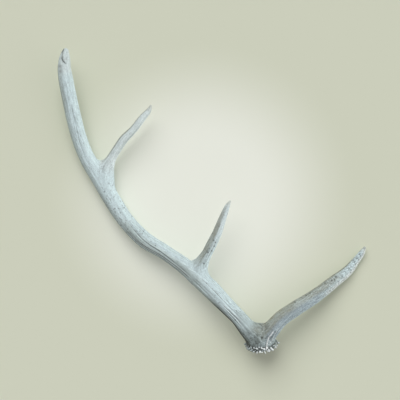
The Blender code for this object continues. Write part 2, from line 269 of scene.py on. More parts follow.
BEAM_GRAIN = (
    Groove(38, 104, 113, 106, 3, -1.3, -0.5),
    Groove(50, 108, 91, 97, 3, -1.2, -0.5),
    Groove(54, 104, 101, 102, 2.4, 0.7, 0.35),
    Groove(50, 90, 121, 119, 2.4, 0.7, 0.5),
    Groove(46, 166, 79, 79, 2.6, 0.9, 0.5),
    Groove(60, 180, 134, 126, 4, 0.7, 0.15),
    Groove(96, 190, 104, 114, 3.2, 0.6, 0.15),
    Groove(146, 230, 121, 107, 2.4, 0.8, 0.6),
    Groove(150, 300, 136, 129, 2.8, 0.9, 0.7),
    Groove(170, 316, 148, 142, 2.8, 0.8, 0.7),
    Groove(160, 296, 127, 118, 2.4, -0.9, -0.5),
    Groove(190, 318, 142, 136, 2.2, -0.6, -0.35),
    Groove(110, 325, 138, 136, 18, 1.15),
    Groove(196, 312, 112, 82, 2.6, 1.1, 0.7),
    Groove(200, 296, 101, 78, 3, -0.9),
    Groove(214, 330, 126, 118, 2.6, 0.5, 0.35),
    Groove(300, 420, 152, 150, 12, 0.5),
    Groove(424, 536, 104, 77, 3.6, 0.55, 0.12),
    Groove(430, 520, 112, 92, 3.2, -0.7),
    Groove(430, 600, 152, 146, 14, 0.25),
    Groove(505, 548, 86, 80, 2.8, 0.7, 0.35),
    Groove(512, 592, 118, 125, 3.2, 0.5, 0.2),
    Groove(110, 330, 30, 42, 5, 0.9),
    Groove(420, 600, 18, 30, 4.5, 0.8),
    Groove(70, 400, 192, 204, 5.5, 1.5, 0.3),
    Groove(380, 590, 200, 184, 5, 1.2, 0.3),
    Groove(60, 340, 252, 240, 5.5, 1.5, 0.3),
    Groove(140, 330, 316, 330, 5.5, 1.4, 0.3),
    Groove(410, 580, 322, 334, 5, 1.2, 0.3),
)
BROW_GRAIN = (
    Groove(0, 90, 80, 92, 6, -0.6),
    Groove(10, 30, 62, 66, 1.8, 0.7, 0.4),
    Groove(8, 95, 50, 40, 3, 0.9, 0.25),
    Groove(10, 110, 34, 24, 2.4, -0.8),
    Groove(15, 130, 16, 10, 3.4, 1.2, 0.2),
    Groove(60, 150, 112, 104, 4, 0.5),
    Groove(30, 170, 150, 140, 4.5, 1, 0.1),
    Groove(20, 200, 205, 212, 4.5, 1.3, 0.3),
    Groove(30, 150, 290, 280, 4.5, 1.2, 0.3),
)
MIDDLE_GRAIN = (
    Groove(12, 112, 98, 84, 3.6, -0.7),
    Groove(34, 86, 72, 70, 2.2, -1.3, -0.5),
    Groove(26, 84, 56, 52, 2.8, 0.7, 0.25),
    Groove(10, 100, 138, 132, 9, 1.7),
    Groove(14, 60, 112, 104, 3, 0.7, 0.4),
    Groove(20, 100, 250, 260, 3.5, 1, 0.3),
)
UPPER_GRAIN = (
    Groove(50, 176, 88, 80, 3.4, -1.1),
    Groove(30, 140, 112, 108, 2.6, 0.5, 0.15),
    Groove(84, 180, 66, 70, 4, -0.9),
    Groove(60, 170, 34, 40, 3, 0.7, 0.2),
    Groove(40, 150, 142, 138, 4.5, 0.9),
    Groove(20, 130, 270, 262, 3.5, 0.9, 0.3),
)
PITS = (
    Pit(-183, 16.5, 1.2, 0.6), Pit(-165, -12, 1.1, 0.6), Pit(-149, -10.5, 1, 0.55),
    Pit(-6.9, -85.7, 1.5, 1.2), Pit(0, -83.6, 1.4, 1.1), Pit(4.3, -75.7, 1.3, 1),
    Pit(5.9, -69.3, 1.2, 0.9), Pit(2.8, -65.6, 1.4, 1), Pit(-13.3, -104.9, 1.3, 0.9),
    Pit(-4.2, -79.3, 1.1, 0.8), Pit(205.1, -134.2, 1.4, 1.1), Pit(209.3, -133, 1.2, 0.9),
    Pit(212.2, -128.6, 1.6, 1.3), Pit(238.2, -121.6, 1.3, 1), Pit(237.1, -117.7, 1, 0.7),
    Pit(246.1, -108, 1.2, 0.9), Pit(244.5, -104.3, 1.2, 0.9), Pit(252.6, -100.5, 1.2, 0.9),
    Pit(249, -97.6, 1.2, 0.8), Pit(255, -93.3, 1.1, 0.8), Pit(252.9, -90.5, 1.1, 0.8),
    Pit(242.1, -101.2, 1.1, 0.8), Pit(106.5, -220.4, 1.2, 0.9), Pit(95.8, -229.2, 1.3, 0.8),
    Pit(140.7, -170.2, 1.3, 0.9), Pit(159.7, -159.7, 1.2, 0.8), Pit(166.7, -155.2, 1.2, 0.8),
    Pit(193, -138.8, 1.1, 0.7), Pit(222.7, -127.9, 1, 0.6), Pit(83.6, -229.6, 1.4, 0.9),
    Pit(-115.7, -50.8, 1, 0.5), Pit(-118.3, -55.1, 1, 0.5), Pit(-103, -67.7, 1, 0.5),
    Pit(-95.7, -74.6, 1, 0.5), Pit(-143.3, -47.4, 1, 0.5), Pit(-138.3, -54, 1, 0.5),
    Pit(-154.9, -41.1, 1, 0.55), Pit(-144.9, -52.9, 1, 0.55), Pit(39.3, -200.5, 1.2, 0.8),
    Pit(84.1, -230.7, 1.5, 1), Pit(12.2, -171, 1.1, 0.6), Pit(-179.5, -1.7, 1, 0.5),
    Pit(-256.6, 228.8, 3.2, 0.4), Pit(-256, 220.6, 3, 0.3),
)
BEAM_STAINS = (
    Stain(Weather.GRIME, -40, 46, 50, 90, 180, 0.92),
    # Painted shade: the near-black line, patch and dark band along the beam's left side by the burr, turned
    # from the lamps.
    Stain(Weather.SOIL, -20, 104, 40, 176, 12, 0.96),
    Stain(Weather.SOIL, -20, 12, 14, 160, 40, 0.45),
    Stain(Weather.GRIME, -40, 122, 44, 172, 26, 0.94),
    Stain(Weather.GRIME, 10, 42, 20, 20, 40, 0.40),
    Stain(Weather.GRIME, 20, 76, 22, 72, 26, 0.48),
    # Partly real stain, partly painted shade: grimy grey and green on the lower left face, turned from the
    # lamps.
    Stain(Weather.GRIME, 135, 300, 34, 152, 26, 0.08),
    Stain(Weather.ALGAE, 150, 320, 40, 140, 46, 0.24),
    Stain(Weather.BLEACH, 52, 150, 24, 108, 17, 0.60),
    # Painted shade, tinted green, along the beam's left edge, turned from the lamps; the grimy grey at the
    # bow is the same.
    Stain(Weather.ALGAE, 60, 620, 40, 180, 16, 0.34),
    Stain(Weather.GRIME, 290, 385, 30, 176, 6, 0.50),
    Stain(Weather.BROWN, 535, 592, 16, 150, 12, 0.30),
    Stain(Weather.BLEACH, 310, 470, 40, 92, 70, 0.52),
    Stain(Weather.BROWN, 8, 40, 16, 40, 26, 0.35),
    Stain(Weather.BLEACH, 400, 560, 40, 70, 50, 0.10),
    Stain(Weather.GRIME, 600, 690, 20, 90, 180, 0.17),
    Stain(Weather.CREAM, 596, 690, 24, 70, 110, 0.45),
)
BROW_STAINS = (
    # Partly real stain, partly painted shade: grimy grey on the brow tine's upper left side, turned from the
    # lamps.
    Stain(Weather.GRIME, -20, 84, 50, 165, 72, 0.80),
    Stain(Weather.GRIME, -20, 180, 50, 90, 180, 0.30),
    # Partly real stain, partly painted shade: the brownish upper left side of the brow tine.
    Stain(Weather.BROWN, 14, 176, 24, 162, 62, 0.60),
    # Painted shade: the brownish and grey dark along the brow tine's left edge, turned from the lamps.
    Stain(Weather.BROWN, 10, 222, 30, 180, 18, 0.85),
    Stain(Weather.GRIME, 96, 214, 34, 178, 26, 0.62),
    Stain(Weather.GRIME, 100, 172, 30, 56, 44, 0.22),
    Stain(Weather.SLATE, -20, 134, 50, 40, 44, 0.72),
    Stain(Weather.BLEACH, 168, 232, 26, 60, 50, 0.28),
    # Painted reflected light: the brow tine's lower right edge is whitened where it faces away from the
    # lamps.
    Stain(Weather.CREAM, 136, 250, 26, 4, 44, 0.85),
)
MIDDLE_STAINS = (
    # Partly real stain, partly painted shade: grimy grey on the middle tine's left face, turned from the
    # lamps.
    Stain(Weather.GRIME, 24, 128, 34, 162, 58, 0.52),
    Stain(Weather.GRIME, 26, 66, 20, 96, 26, 0.42),
    # Partly real stain, partly painted shade: a brownish tint on the same left face.
    Stain(Weather.BROWN, 26, 128, 34, 165, 56, 0.60),
    Stain(Weather.CREAM, 76, 170, 40, 90, 180, 0.30),
)
UPPER_STAINS = (
    Stain(Weather.CREAM, 56, 200, 40, 90, 180, 0.55),
    Stain(Weather.GRIME, 84, 190, 30, 22, 24, 0.22),
    Stain(Weather.BLEACH, 24, 90, 26, 112, 60, 0.70),
    Stain(Weather.BLEACH, 84, 186, 30, 70, 34, 0.90),
    # Painted shade: the dark, brownish left edge of the upper tine, turned from the lamps.
    Stain(Weather.BROWN, 60, 190, 20, 176, 20, 0.50),
    Stain(Weather.GRIME, 70, 190, 30, 176, 22, 0.76),
)


class Place(NamedTuple):
    """Where points lie on a branch: along it, round it, how far out in its own thicknesses, its radius."""

    along: Array
    angle: Array
    out: Array
    radius: Array

    def unrolled(self, shift: float | Array) -> Array:
        """Straighten the branch, so that patterns can run along its grain.

        Args:
            shift: a distance that sets this branch's pattern apart from the others'.

        Returns:
            Rows of two distances across the grain and one along it.
        """
        across = self.radius * self.out
        rows = (np.cos(self.angle) * across, np.sin(self.angle) * across, self.along + shift)
        return np.stack(rows, axis=1)


@dataclass(frozen=True)
class Branch:
    """One branch of the antler, an oval tube through its stations with grain and stains along it."""

    name: str
    stations: tuple[Station, ...]
    grain: tuple[Groove, ...]
    patches: tuple[Stain, ...]
    flutes: tuple[Flute, ...] = (Flute(7, 0.3, 210.0), Flute(12, 0.18, 130.0), Flute(19, 0.1, 80.0))
    ring_points: int = 96
    ring_step: float = 1.4
    point_length: float = 0.35
    search_step: float = 4.0
    search_block: int = 20000
    valley_share: float = 0.42
    valley_width: float = 0.85
    crease_share: float = 0.48
    crease_width: float = 0.36
    crease_limit: float = 7.0
    grain_fade: float = 28.0
    grain_fade_share: float = 0.35

    def path(self) -> tuple[Array, Array]:
        """Follow a smooth curve through the stations.

        Returns:
            One row (x, y, z, width, depth) for each sample, and each sample's distance from the foot.
        """
        points = np.array(self.stations)
        steps = np.linalg.norm(np.diff(points[:, :3], axis=0), axis=1)
        knots = np.concatenate([[0.0], np.cumsum(steps)])
        slopes = np.gradient(points, knots, axis=0)
        along = np.linspace(0.0, knots[-1], max(FEWEST_RINGS, round(knots[-1] / self.ring_step)))
        i = np.clip(np.searchsorted(knots, along, side="right") - 1, 0, len(knots) - 2)
        span = (knots[i + 1] - knots[i])[:, None]
        t = (along - knots[i])[:, None] / span
        samples = (
            (2 * t**3 - 3 * t**2 + 1) * points[i]
            + (t**3 - 2 * t**2 + t) * span * slopes[i]
            + (3 * t**2 - 2 * t**3) * points[i + 1]
            + (t**3 - t**2) * span * slopes[i + 1]
        )
        return samples, along

    def length(self) -> float:
        """Measure the branch along its path."""
        return float(self.path()[1][-1])

    def axes(self, samples: Array, along: Array) -> tuple[Array, Array, Array]:
        """Find the directions at each sample of the path.

        Args:
            samples: the path's samples.
            along: their distances from the foot.

        Returns:
            Unit vectors along the branch, to its right side and to its top.
        """
        ahead = np.gradient(samples[:, :3], along, axis=0)
        ahead /= np.linalg.norm(ahead, axis=1)[:, None]
        side = np.cross(ahead, (0.0, 0.0, 1.0))
        side /= np.linalg.norm(side, axis=1)[:, None]
        return ahead, side, np.cross(side, ahead)

    def loft(self) -> bpy.types.Object:
        """Build the plain branch: oval rings joined into a tube, with a flat foot and a round point.

        Returns:
            The tube as an object, in metres.
        """
        samples, along = self.path()
        ahead, side, up = self.axes(samples, along)
        angles = np.linspace(0.0, 2 * math.pi, self.ring_points, endpoint=False)
        across = samples[:, 3, None, None] / 2 * np.cos(angles)[None, :, None] * side[:, None, :]
        upward = samples[:, 4, None, None] / 2 * np.sin(angles)[None, :, None] * up[:, None, :]
        rings = samples[:, None, :3] + across + upward
        point = samples[-1, :3] + ahead[-1] * samples[-1, 4] * self.point_length
        points = np.concatenate([rings.reshape(-1, 3), samples[:1, :3], [point]])
        low = np.arange(self.ring_points)
        nxt = (low + 1) % self.ring_points
        rows = np.arange(len(samples) - 1)[:, None] * self.ring_points
        quads = np.stack(
            [rows + low, rows + nxt, rows + self.ring_points + nxt, rows + self.ring_points + low], axis=2
        )
        foot, tip = len(points) - 2, len(points) - 1
        last = (len(samples) - 1) * self.ring_points
        faces = quads.reshape(-1, 4).tolist()
        faces += [(int(a), foot, int(b)) for a, b in zip(nxt, low)]
        faces += [(last + int(a), tip, last + int(b)) for a, b in zip(low, nxt)]
        mesh = bpy.data.meshes.new(self.name)
        mesh.from_pydata((points * MM).tolist(), [], faces)
        return linked(self.name, face_outwards(mesh))

    def place(self, points: Array) -> Place:
        """Find where points lie on this branch.

        Args:
            points: rows of x, y and z.

        Returns:
            Each point's place along, round and out from the branch.
        """
        samples, along = self.path()
        ahead, side, up = self.axes(samples, along)
        every = max(1, round(self.search_step / self.ring_step))
        coarse = samples[::every, :3]
        nearest = np.empty(len(points), int)
        for start in range(0, len(points), self.search_block):
            block = points[start : start + self.search_block]
            gap = (coarse**2).sum(1)[None, :] - 2 * block @ coarse.T
            nearest[start : start + self.search_block] = gap.argmin(1) * every
        offset = points - samples[nearest, :3]
        shift = np.clip((offset * ahead[nearest]).sum(1) / self.ring_step, -every, every)
        i = np.clip(nearest + np.round(shift).astype(int), 0, len(samples) - 1)
        offset = points - samples[i, :3]
        distance = along[i] + (offset * ahead[i]).sum(1)
        right = (offset * side[i]).sum(1) / (samples[i, 3] / 2)
        top = (offset * up[i]).sum(1) / (samples[i, 4] / 2)
        beyond = np.clip(np.maximum(distance - along[-1], -distance), 0.0, None)
        radius = (samples[i, 3] + samples[i, 4]) / 4
        out = np.sqrt(right**2 + top**2 + (beyond / np.maximum(radius, 1.0)) ** 2)
        return Place(distance, np.arctan2(top, right), out, radius)

    def stains(self, place: Place, kind: Weather) -> Array:
        """Work out how strongly one kind of weather shows on this branch.

        Args:
            place: where the points lie on the branch.
            kind: the kind of weather.

        Returns:
            A strength for each point.
        """
        strength = np.zeros(len(place.along))
        for stain in self.patches:
            if stain.kind is not kind:
                continue
            ends = np.minimum(place.along - stain.start, stain.end - place.along) / stain.fade
            turn = np.degrees(half_turns(place.angle - math.radians(stain.middle)))
            sides = (stain.reach + STAIN_SOFTNESS - np.abs(turn)) / STAIN_SOFTNESS
            strength = np.maximum(strength, stain.amount * smooth(ends + 0.5) * smooth(sides))
        return strength

    def channels(self, place: Place) -> Array:
        """Work out how far the grain's channels and ridges raise the surface, and what they look like.

        Args:
            place: where the points lie on the branch.

        Returns:
            Three rows: a height for each point, negative in channels, then its dirt and its whiteness.
        """
        height, dirt, white = np.zeros((3, len(place.along)))
        for groove in self.grain:
            length = groove.end - groove.start
            t = np.clip((place.along - groove.start) / length, 0.0, 1.0)
            heading = np.radians(groove.angle_start + (groove.angle_end - groove.angle_start) * t)
            off = np.abs(half_turns(place.angle - heading)) * place.radius / (groove.width / 2)
            sink = min(self.grain_fade, self.grain_fade_share * length)
            fade = smooth(np.minimum(place.along - groove.start, groove.end - place.along) / sink)
            if groove.width > self.crease_limit:
                height -= groove.depth * fade * np.exp(-(off**2))
                continue
            valley = self.valley_share * np.exp(-((off / self.valley_width) ** 2))
            crease = np.exp(-((off / self.crease_width) ** 2))
            height -= groove.depth * fade * (valley + self.crease_share * crease)
            dirt = np.maximum(dirt, groove.dirt * fade * crease)
            white = np.maximum(white, -groove.dirt * fade * crease)
        return np.stack((height, dirt, white))

    def fluting(self, place: Place) -> Array:
        """Work out the shallow waves round the branch that wander along it.

        Args:
            place: where the points lie on the branch.

        Returns:
            A height for each point.
        """
        height = np.zeros(len(place.along))
        for waves, amount, wander in self.flutes:
            height += amount * np.cos(waves * place.angle + 2.0 * np.sin(2.0 * place.along / wander + waves))
        return height * np.minimum(1.0, place.radius / FULL_RELIEF_RADIUS)


# ---------------------------------------------------------------- small tools


def smooth(value: Array) -> Array:
    """Ease values from 0 to 1, and hold them there outside that range."""
    t = np.clip(value, 0.0, 1.0)
    return t * t * (3 - 2 * t)


def half_turns(angle: Array) -> Array:
    """Bring angles into the range from minus half a turn to half a turn."""
    return (angle + math.pi) % (2 * math.pi) - math.pi


def from_line(points: Array, line: Line) -> tuple[Array, Array, Array]:
    """Measure points from a bent line, all seen from above.

    Args:
        points: rows of x, y and z.
        line: the line's corners.

    Returns:
        Each point's distance from the line, the same with a sign that is positive on the line's right, and
        how far along the line it lies, from 0 to 1.
    """
    best = np.full(len(points), np.inf)
    side, along = np.zeros((2, len(points)))
    for i, (a, b) in enumerate(zip(np.array(line), np.array(line[1:]))):
        t = np.clip(((points[:, :2] - a) @ (b - a)) / ((b - a) @ (b - a)), 0.0, 1.0)
        offset = points[:, :2] - (a + t[:, None] * (b - a))
        away = np.hypot(*offset.T)
        nearer = away < best
        best = np.where(nearer, away, best)
        across = (b - a)[0] * offset[:, 1] - (b - a)[1] * offset[:, 0]
        side = np.where(nearer, -np.sign(across) * away, side)
        along = np.where(nearer, (i + t) / (len(line) - 1), along)
    return best, side, along


def perlin(points: Array, cell: float, seed: int) -> Array:
    """Sample smooth noise, from about -1 to 1.

    Args:
        points: rows of x, y and z.
        cell: the size of its lumps.
        seed: which noise of many.

    Returns:
        One value for each point.
    """
    spots = (points / cell + seed * np.array(SEED_STEP)).tolist()
    return np.fromiter((noise.noise(spot) for spot in spots), float, len(spots))


def closeness(points: Array, spots: tuple[Spot, ...]) -> Array:
    """Measure how near points are to any of some spots.

    Args:
        points: rows of x, y and z.
        spots: the spots.

    Returns:
        1 in a spot's inner half, fading to 0 at its reach.
    """
    weight = np.zeros(len(points))
    for x, y, z, reach in spots:
        away = np.linalg.norm(points - (x, y, z), axis=1)
        weight = np.maximum(weight, np.clip((1.0 - away / reach) * 2.0, 0.0, 1.0))
    return weight


def across_edges(values: Array, a: Array, b: Array) -> Array:
    """Add up, for each row, the rows at the other ends of its edges.

    Args:
        values: one row of numbers for each vertex.
        a: each edge's first vertex.
        b: each edge's second vertex.

    Returns:
        The sums, in the same shape.
    """
    count = len(values)
    sums = [np.bincount(a, column[b], count) + np.bincount(b, column[a], count) for column in values.T]
    return np.stack(sums, axis=1)


def linked(name: str, data: bpy.types.ID) -> bpy.types.Object:
    """Link new data to the scene as an object of that name."""
    obj = bpy.data.objects.new(name, data)
    bpy.context.scene.collection.objects.link(obj)
    return obj


def face_outwards(mesh: bpy.types.Mesh) -> bpy.types.Mesh:
    """Turn every face of a closed mesh to face outwards."""
    work = bmesh.new()
    work.from_mesh(mesh)
    bmesh.ops.recalc_face_normals(work, faces=work.faces)
    work.to_mesh(mesh)
    work.free()
    return mesh


def baked(obj: bpy.types.Object) -> bpy.types.Mesh:
    """Make a plain mesh of an object with its modifiers applied, in place."""
    bpy.context.view_layer.update()
    graph = bpy.context.evaluated_depsgraph_get()
    mesh = bpy.data.meshes.new_from_object(obj.evaluated_get(graph), depsgraph=graph)
    mesh.transform(obj.matrix_world)
    return mesh


class SkinMesh:
    """A mesh held as arrays, in millimetres, so that its surface can be worked quickly."""

    def __init__(self, mesh: bpy.types.Mesh) -> None:
        """Read the mesh's points and edges."""
        self.mesh = mesh
        self.points = np.empty(len(mesh.vertices) * 3)
        mesh.vertices.foreach_get("co", self.points)
        self.points = self.points.reshape(-1, 3) / MM
        self.edges = np.empty(len(mesh.edges) * 2, np.int32)
        mesh.edges.foreach_get("vertices", self.edges)
        self.edges = self.edges.reshape(-1, 2)
        self.valence = np.bincount(self.edges.ravel(), minlength=len(self.points)).astype(float)

    def mean_of_neighbours(self, values: Array) -> Array:
        """Average each vertex's neighbours.

        Args:
            values: one number, or one row of numbers, for each vertex.

        Returns:
            The averages, in the same shape.
        """
        total = across_edges(values.reshape(len(values), -1), *self.edges.T)
        return (total / self.valence[:, None]).reshape(values.shape)

    def relax(self, passes: int, weight: Array, factor: float = 0.5) -> None:
        """Smooth the surface.

        Args:
            passes: how many times.
            weight: how strongly at each vertex.
            factor: how far a full pass moves a vertex towards its neighbours.
        """
        touched = (weight[self.edges] > 0).any(axis=1)
        a, b = self.edges[touched].T
        busy = np.unique(np.concatenate([a, b]))
        order = np.zeros(len(self.points), np.int32)
        order[busy] = np.arange(len(busy))
        a, b = order[a], order[b]
        points = self.points[busy]
        valence = self.valence[busy][:, None]
        amount = (weight * factor)[busy][:, None]
        for _ in range(passes):
            points += (across_edges(points, a, b) / valence - points) * amount
        self.points[busy] = points

    def hollows(self, spacing: float) -> Array:
        """Measure how hollow the surface is.

        Args:
            spacing: the usual distance between neighbours.

        Returns:
            The mean curvature at each vertex, per millimetre, positive in hollows.
        """
        pull = ((self.mean_of_neighbours(self.points) - self.points) * self.normals()).sum(1)
        for _ in range(2):
            pull = 0.5 * (pull + self.mean_of_neighbours(pull))
        return pull * 4 / spacing**2

    def normals(self) -> Array:
        """Write the points back to the mesh and read its vertex normals."""
        self.store()
        normals = np.empty(len(self.points) * 3)
        self.mesh.vertex_normals.foreach_get("vector", normals)
        return normals.reshape(-1, 3)

    def store(self, scale: float = 1.0) -> None:
        """Write the points back to the mesh, times a scale."""
        self.mesh.vertices.foreach_set("co", (self.points * scale).ravel())
        self.mesh.update()

    def note(self, name: str, values: Array, most: float = 1.0) -> None:
        """Keep a number at each vertex, for the material to read.

        Args:
            name: the attribute's name.
            values: one number for each vertex.
            most: the largest that is kept. The smallest is 0.
        """
        layer = self.mesh.attributes.new(name, "FLOAT", "POINT")
        layer.data.foreach_set("value", np.clip(values, 0.0, most).astype(np.float32))

    def note_rows(self, name: str, rows: Array) -> None:
        """Keep a row of three numbers at each vertex, for the material to read.

        Args:
            name: the attribute's name.
            rows: the rows.
        """
        layer = self.mesh.attributes.new(name, "FLOAT_VECTOR", "POINT")
        layer.data.foreach_set("vector", rows.astype(np.float32).ravel())


# ---------------------------------------------------------------- nodes and materials


class Pattern(NamedTuple):
    """A noise: its lumps to a unit along each axis, its finer layers, their strength and its offset."""

    stretch: tuple[float, float, float]
    detail: float
    roughness: float
    shift: float


class Nodes:
    """A short way to add nodes to a tree and wire them."""

    def __init__(self, tree: bpy.types.NodeTree) -> None:
        """Take the tree that the nodes go into."""
        self.tree = tree

    def feed(self, inputs: bpy.types.NodeInputs, values: Values) -> None:
        """Link each input to a socket, or set its value.

        Args:
            inputs: a node's inputs.
            values: the sockets and values, by the inputs' names or numbers.
        """
        for key, value in values.items():
            if isinstance(value, Socket):
                self.tree.links.new(value, inputs[key])
            else:
                inputs[key].default_value = value

    def node(self, kind: str, values: Values | None = None, **settings: object) -> bpy.types.Node:
        """Add a node.

        Args:
            kind: the node's type.
            values: what feeds its inputs, by their names or numbers.
            settings: its properties.

        Returns:
            The node.
        """
        made = self.tree.nodes.new(kind)
        for key, value in settings.items():
            setattr(made, key, value)
        self.feed(made.inputs, values or {})
        return made


class Graph(Nodes):
    """The nodes of one material."""

    def __init__(self, name: str) -> None:
        """Start a material with only its shader and output."""
        self.material = bpy.data.materials.new(name)
        self.material.use_nodes = True
        super().__init__(self.material.node_tree)

    def finished(self, values: Values) -> bpy.types.Material:
        """Feed the shader's inputs, and give the material."""
        self.feed(self.tree.nodes["Principled BSDF"].inputs, values)
        return self.material

    def math(self, operation: str, a: object, b: object = 0.0, clamp: bool = False) -> Socket:
        """Combine two numbers, and hold the result from 0 to 1 if it is to be clamped."""
        return self.node("ShaderNodeMath", {0: a, 1: b}, operation=operation, use_clamp=clamp).outputs[0]

    def times(self, a: object, b: object, clamp: bool = False) -> Socket:
        """Multiply two numbers."""
        return self.math("MULTIPLY", a, b, clamp)

    def plus(self, a: object, b: object) -> Socket:
        """Add two numbers."""
        return self.math("ADD", a, b)

    def minus(self, a: object, b: object) -> Socket:
        """Subtract the second number from the first."""
        return self.math("SUBTRACT", a, b)

    def band(self, value: object, low: float, high: float, out: tuple[float, float] = (0.0, 1.0)) -> Socket:
        """Ease a value from one range to another.

        Args:
            value: the socket to read.
            low: where the change starts.
            high: where it ends.
            out: the results at low and high.

        Returns:
            The result's socket.
        """
        values = {"Value": value, "From Min": low, "From Max": high, "To Min": out[0], "To Max": out[1]}
        return self.node("ShaderNodeMapRange", values, interpolation_type="SMOOTHSTEP").outputs["Result"]

    def mix(self, share: object, a: object, b: object, blend: str = "MIX") -> Socket:
        """Blend two colours.

        Args:
            share: how much of the second.
            a: the first colour or socket.
            b: the second colour or socket.
            blend: the Mix node's blend type.

        Returns:
            The result's socket.
        """
        a, b = ((*colour, 1.0) if isinstance(colour, tuple) else colour for colour in (a, b))
        values = {0: share, 6: a, 7: b}
        return self.node("ShaderNodeMix", values, data_type="RGBA", blend_type=blend).outputs[2]

    def rows(self, name: str) -> Socket:
        """Read a row of three numbers kept at each vertex."""
        return self.node("ShaderNodeAttribute", attribute_name=name).outputs["Vector"]

    def number(self, name: str) -> Socket:
        """Read a number kept at each vertex."""
        return self.node("ShaderNodeAttribute", attribute_name=name).outputs["Fac"]

    def noise(self, place: Socket, pattern: Pattern) -> Socket:
        """Sample noise.

        Args:
            place: the coordinates.
            pattern: the noise's sizes.

        Returns:
            The noise's socket, from 0 to 1.
        """
        shift = (pattern.shift, pattern.shift * 0.7, pattern.shift * 1.3)
        moved = self.node("ShaderNodeMapping", {"Location": shift, "Scale": pattern.stretch, "Vector": place})
        values = {"Scale": 1.0, "Detail": pattern.detail, "Roughness": pattern.roughness}
        return self.node("ShaderNodeTexNoise", {**values, "Vector": moved.outputs[0]}).outputs["Fac"]

    def grain(self, pattern: Pattern) -> Socket:
        """Sample noise that runs along the branches and blends from beam to tine at each fork.

        Args:
            pattern: the noise's sizes, with lumps per millimetre across, across and along the grain.

        Returns:
            The noise's socket, from 0 to 1.
        """
        beam, tine = (self.noise(self.rows(name), pattern) for name in ("grain_beam", "grain_tine"))
        values = {0: self.number("tine_share"), 2: beam, 3: tine}
        return self.node("ShaderNodeMix", values, data_type="FLOAT").outputs[0]

    def dots(self, place: Socket, density: float, radius: float, keep: float) -> Socket:
        """Scatter soft round dots.

        Args:
            place: the coordinates.
            density: cells per unit.
            radius: a dot's size in its cell.
            keep: the share of cells that have one.

        Returns:
            A socket that is 1 in the dots and 0 outside them.
        """
        cells = self.node("ShaderNodeTexVoronoi", {"Scale": density, "Vector": place}, feature="F1")
        chosen = self.node("ShaderNodeSeparateColor", {0: cells.outputs["Color"]})
        dot = self.band(cells.outputs["Distance"], radius, radius * 0.4)
        return self.times(dot, self.math("LESS_THAN", chosen.outputs[0], keep))


@dataclass(frozen=True)
class BoneFinish:
    """Weathered antler: bleached bluish white, streaked along the grain, grimy with dirt and painted shade.
    """

    crest: Colour = (0.658, 0.797, 0.81)
    body: Colour = (0.517, 0.633, 0.65)
    vein: Colour = (0.31, 0.385, 0.36)
    # The dark dirt colour also paints shade under the pearls and along the beam's left edge by the burr.
    dirt: Colour = (0.06, 0.07, 0.06)
    # The grey, brownish and green colours show real stains and also painted shade on the sides turned from
    # the lamps.
    grey: Colour = (0.214, 0.258, 0.24)
    brown: Colour = (0.272, 0.257, 0.17)
    algae: Colour = (0.262, 0.292, 0.20)
    slate: Colour = (0.25, 0.315, 0.365)
    # The creamy white colours the real creamy tips and also painted reflected light on the brow tine's lower
    # edge.
    cream: Colour = (0.74, 0.80, 0.775)
    ivory: Colour = (0.56, 0.57, 0.47)
    pearl: Colour = (0.85, 0.89, 0.88)
    roughness: float = 0.60
    specular: float = 0.35
    bump: float = 0.5
    bump_height: float = 0.0005
    broad: Pattern = Pattern((0.10, 0.10, 0.012), 2.0, 0.5, 3.0)
    streaks: Pattern = Pattern((0.34, 0.34, 0.03), 3.0, 0.6, 11.0)
    fibres: Pattern = Pattern((0.62, 0.62, 0.085), 4.0, 0.7, 23.0)
    hairs: Pattern = Pattern((1.6, 1.6, 0.10), 2.0, 0.6, 31.0)
    clouds: Pattern = Pattern((38.0, 38.0, 38.0), 3.0, 0.55, 8.0)
    pebbles: Pattern = Pattern((420.0, 420.0, 420.0), 2.0, 0.7, 14.0)
    grit: Pattern = Pattern((520.0, 520.0, 520.0), 3.0, 0.75, 5.0)

    def make(self) -> bpy.types.Material:
        """Build the material.

        Returns:
            The finished bone.
        """
        bone = BoneGraph(self)
        dull = bone.band(bone.fibre, 0.3, 0.7, (self.roughness + 0.14, self.roughness - 0.10))
        polish = bone.times(bone.number("ivory"), 0.25)
        return bone.finished({
            "Base Color": bone.mottled(bone.weathered(bone.clean())),
            "Roughness": bone.minus(dull, polish),
            "Normal": bone.relief(),
            "Specular IOR Level": self.specular,
        })


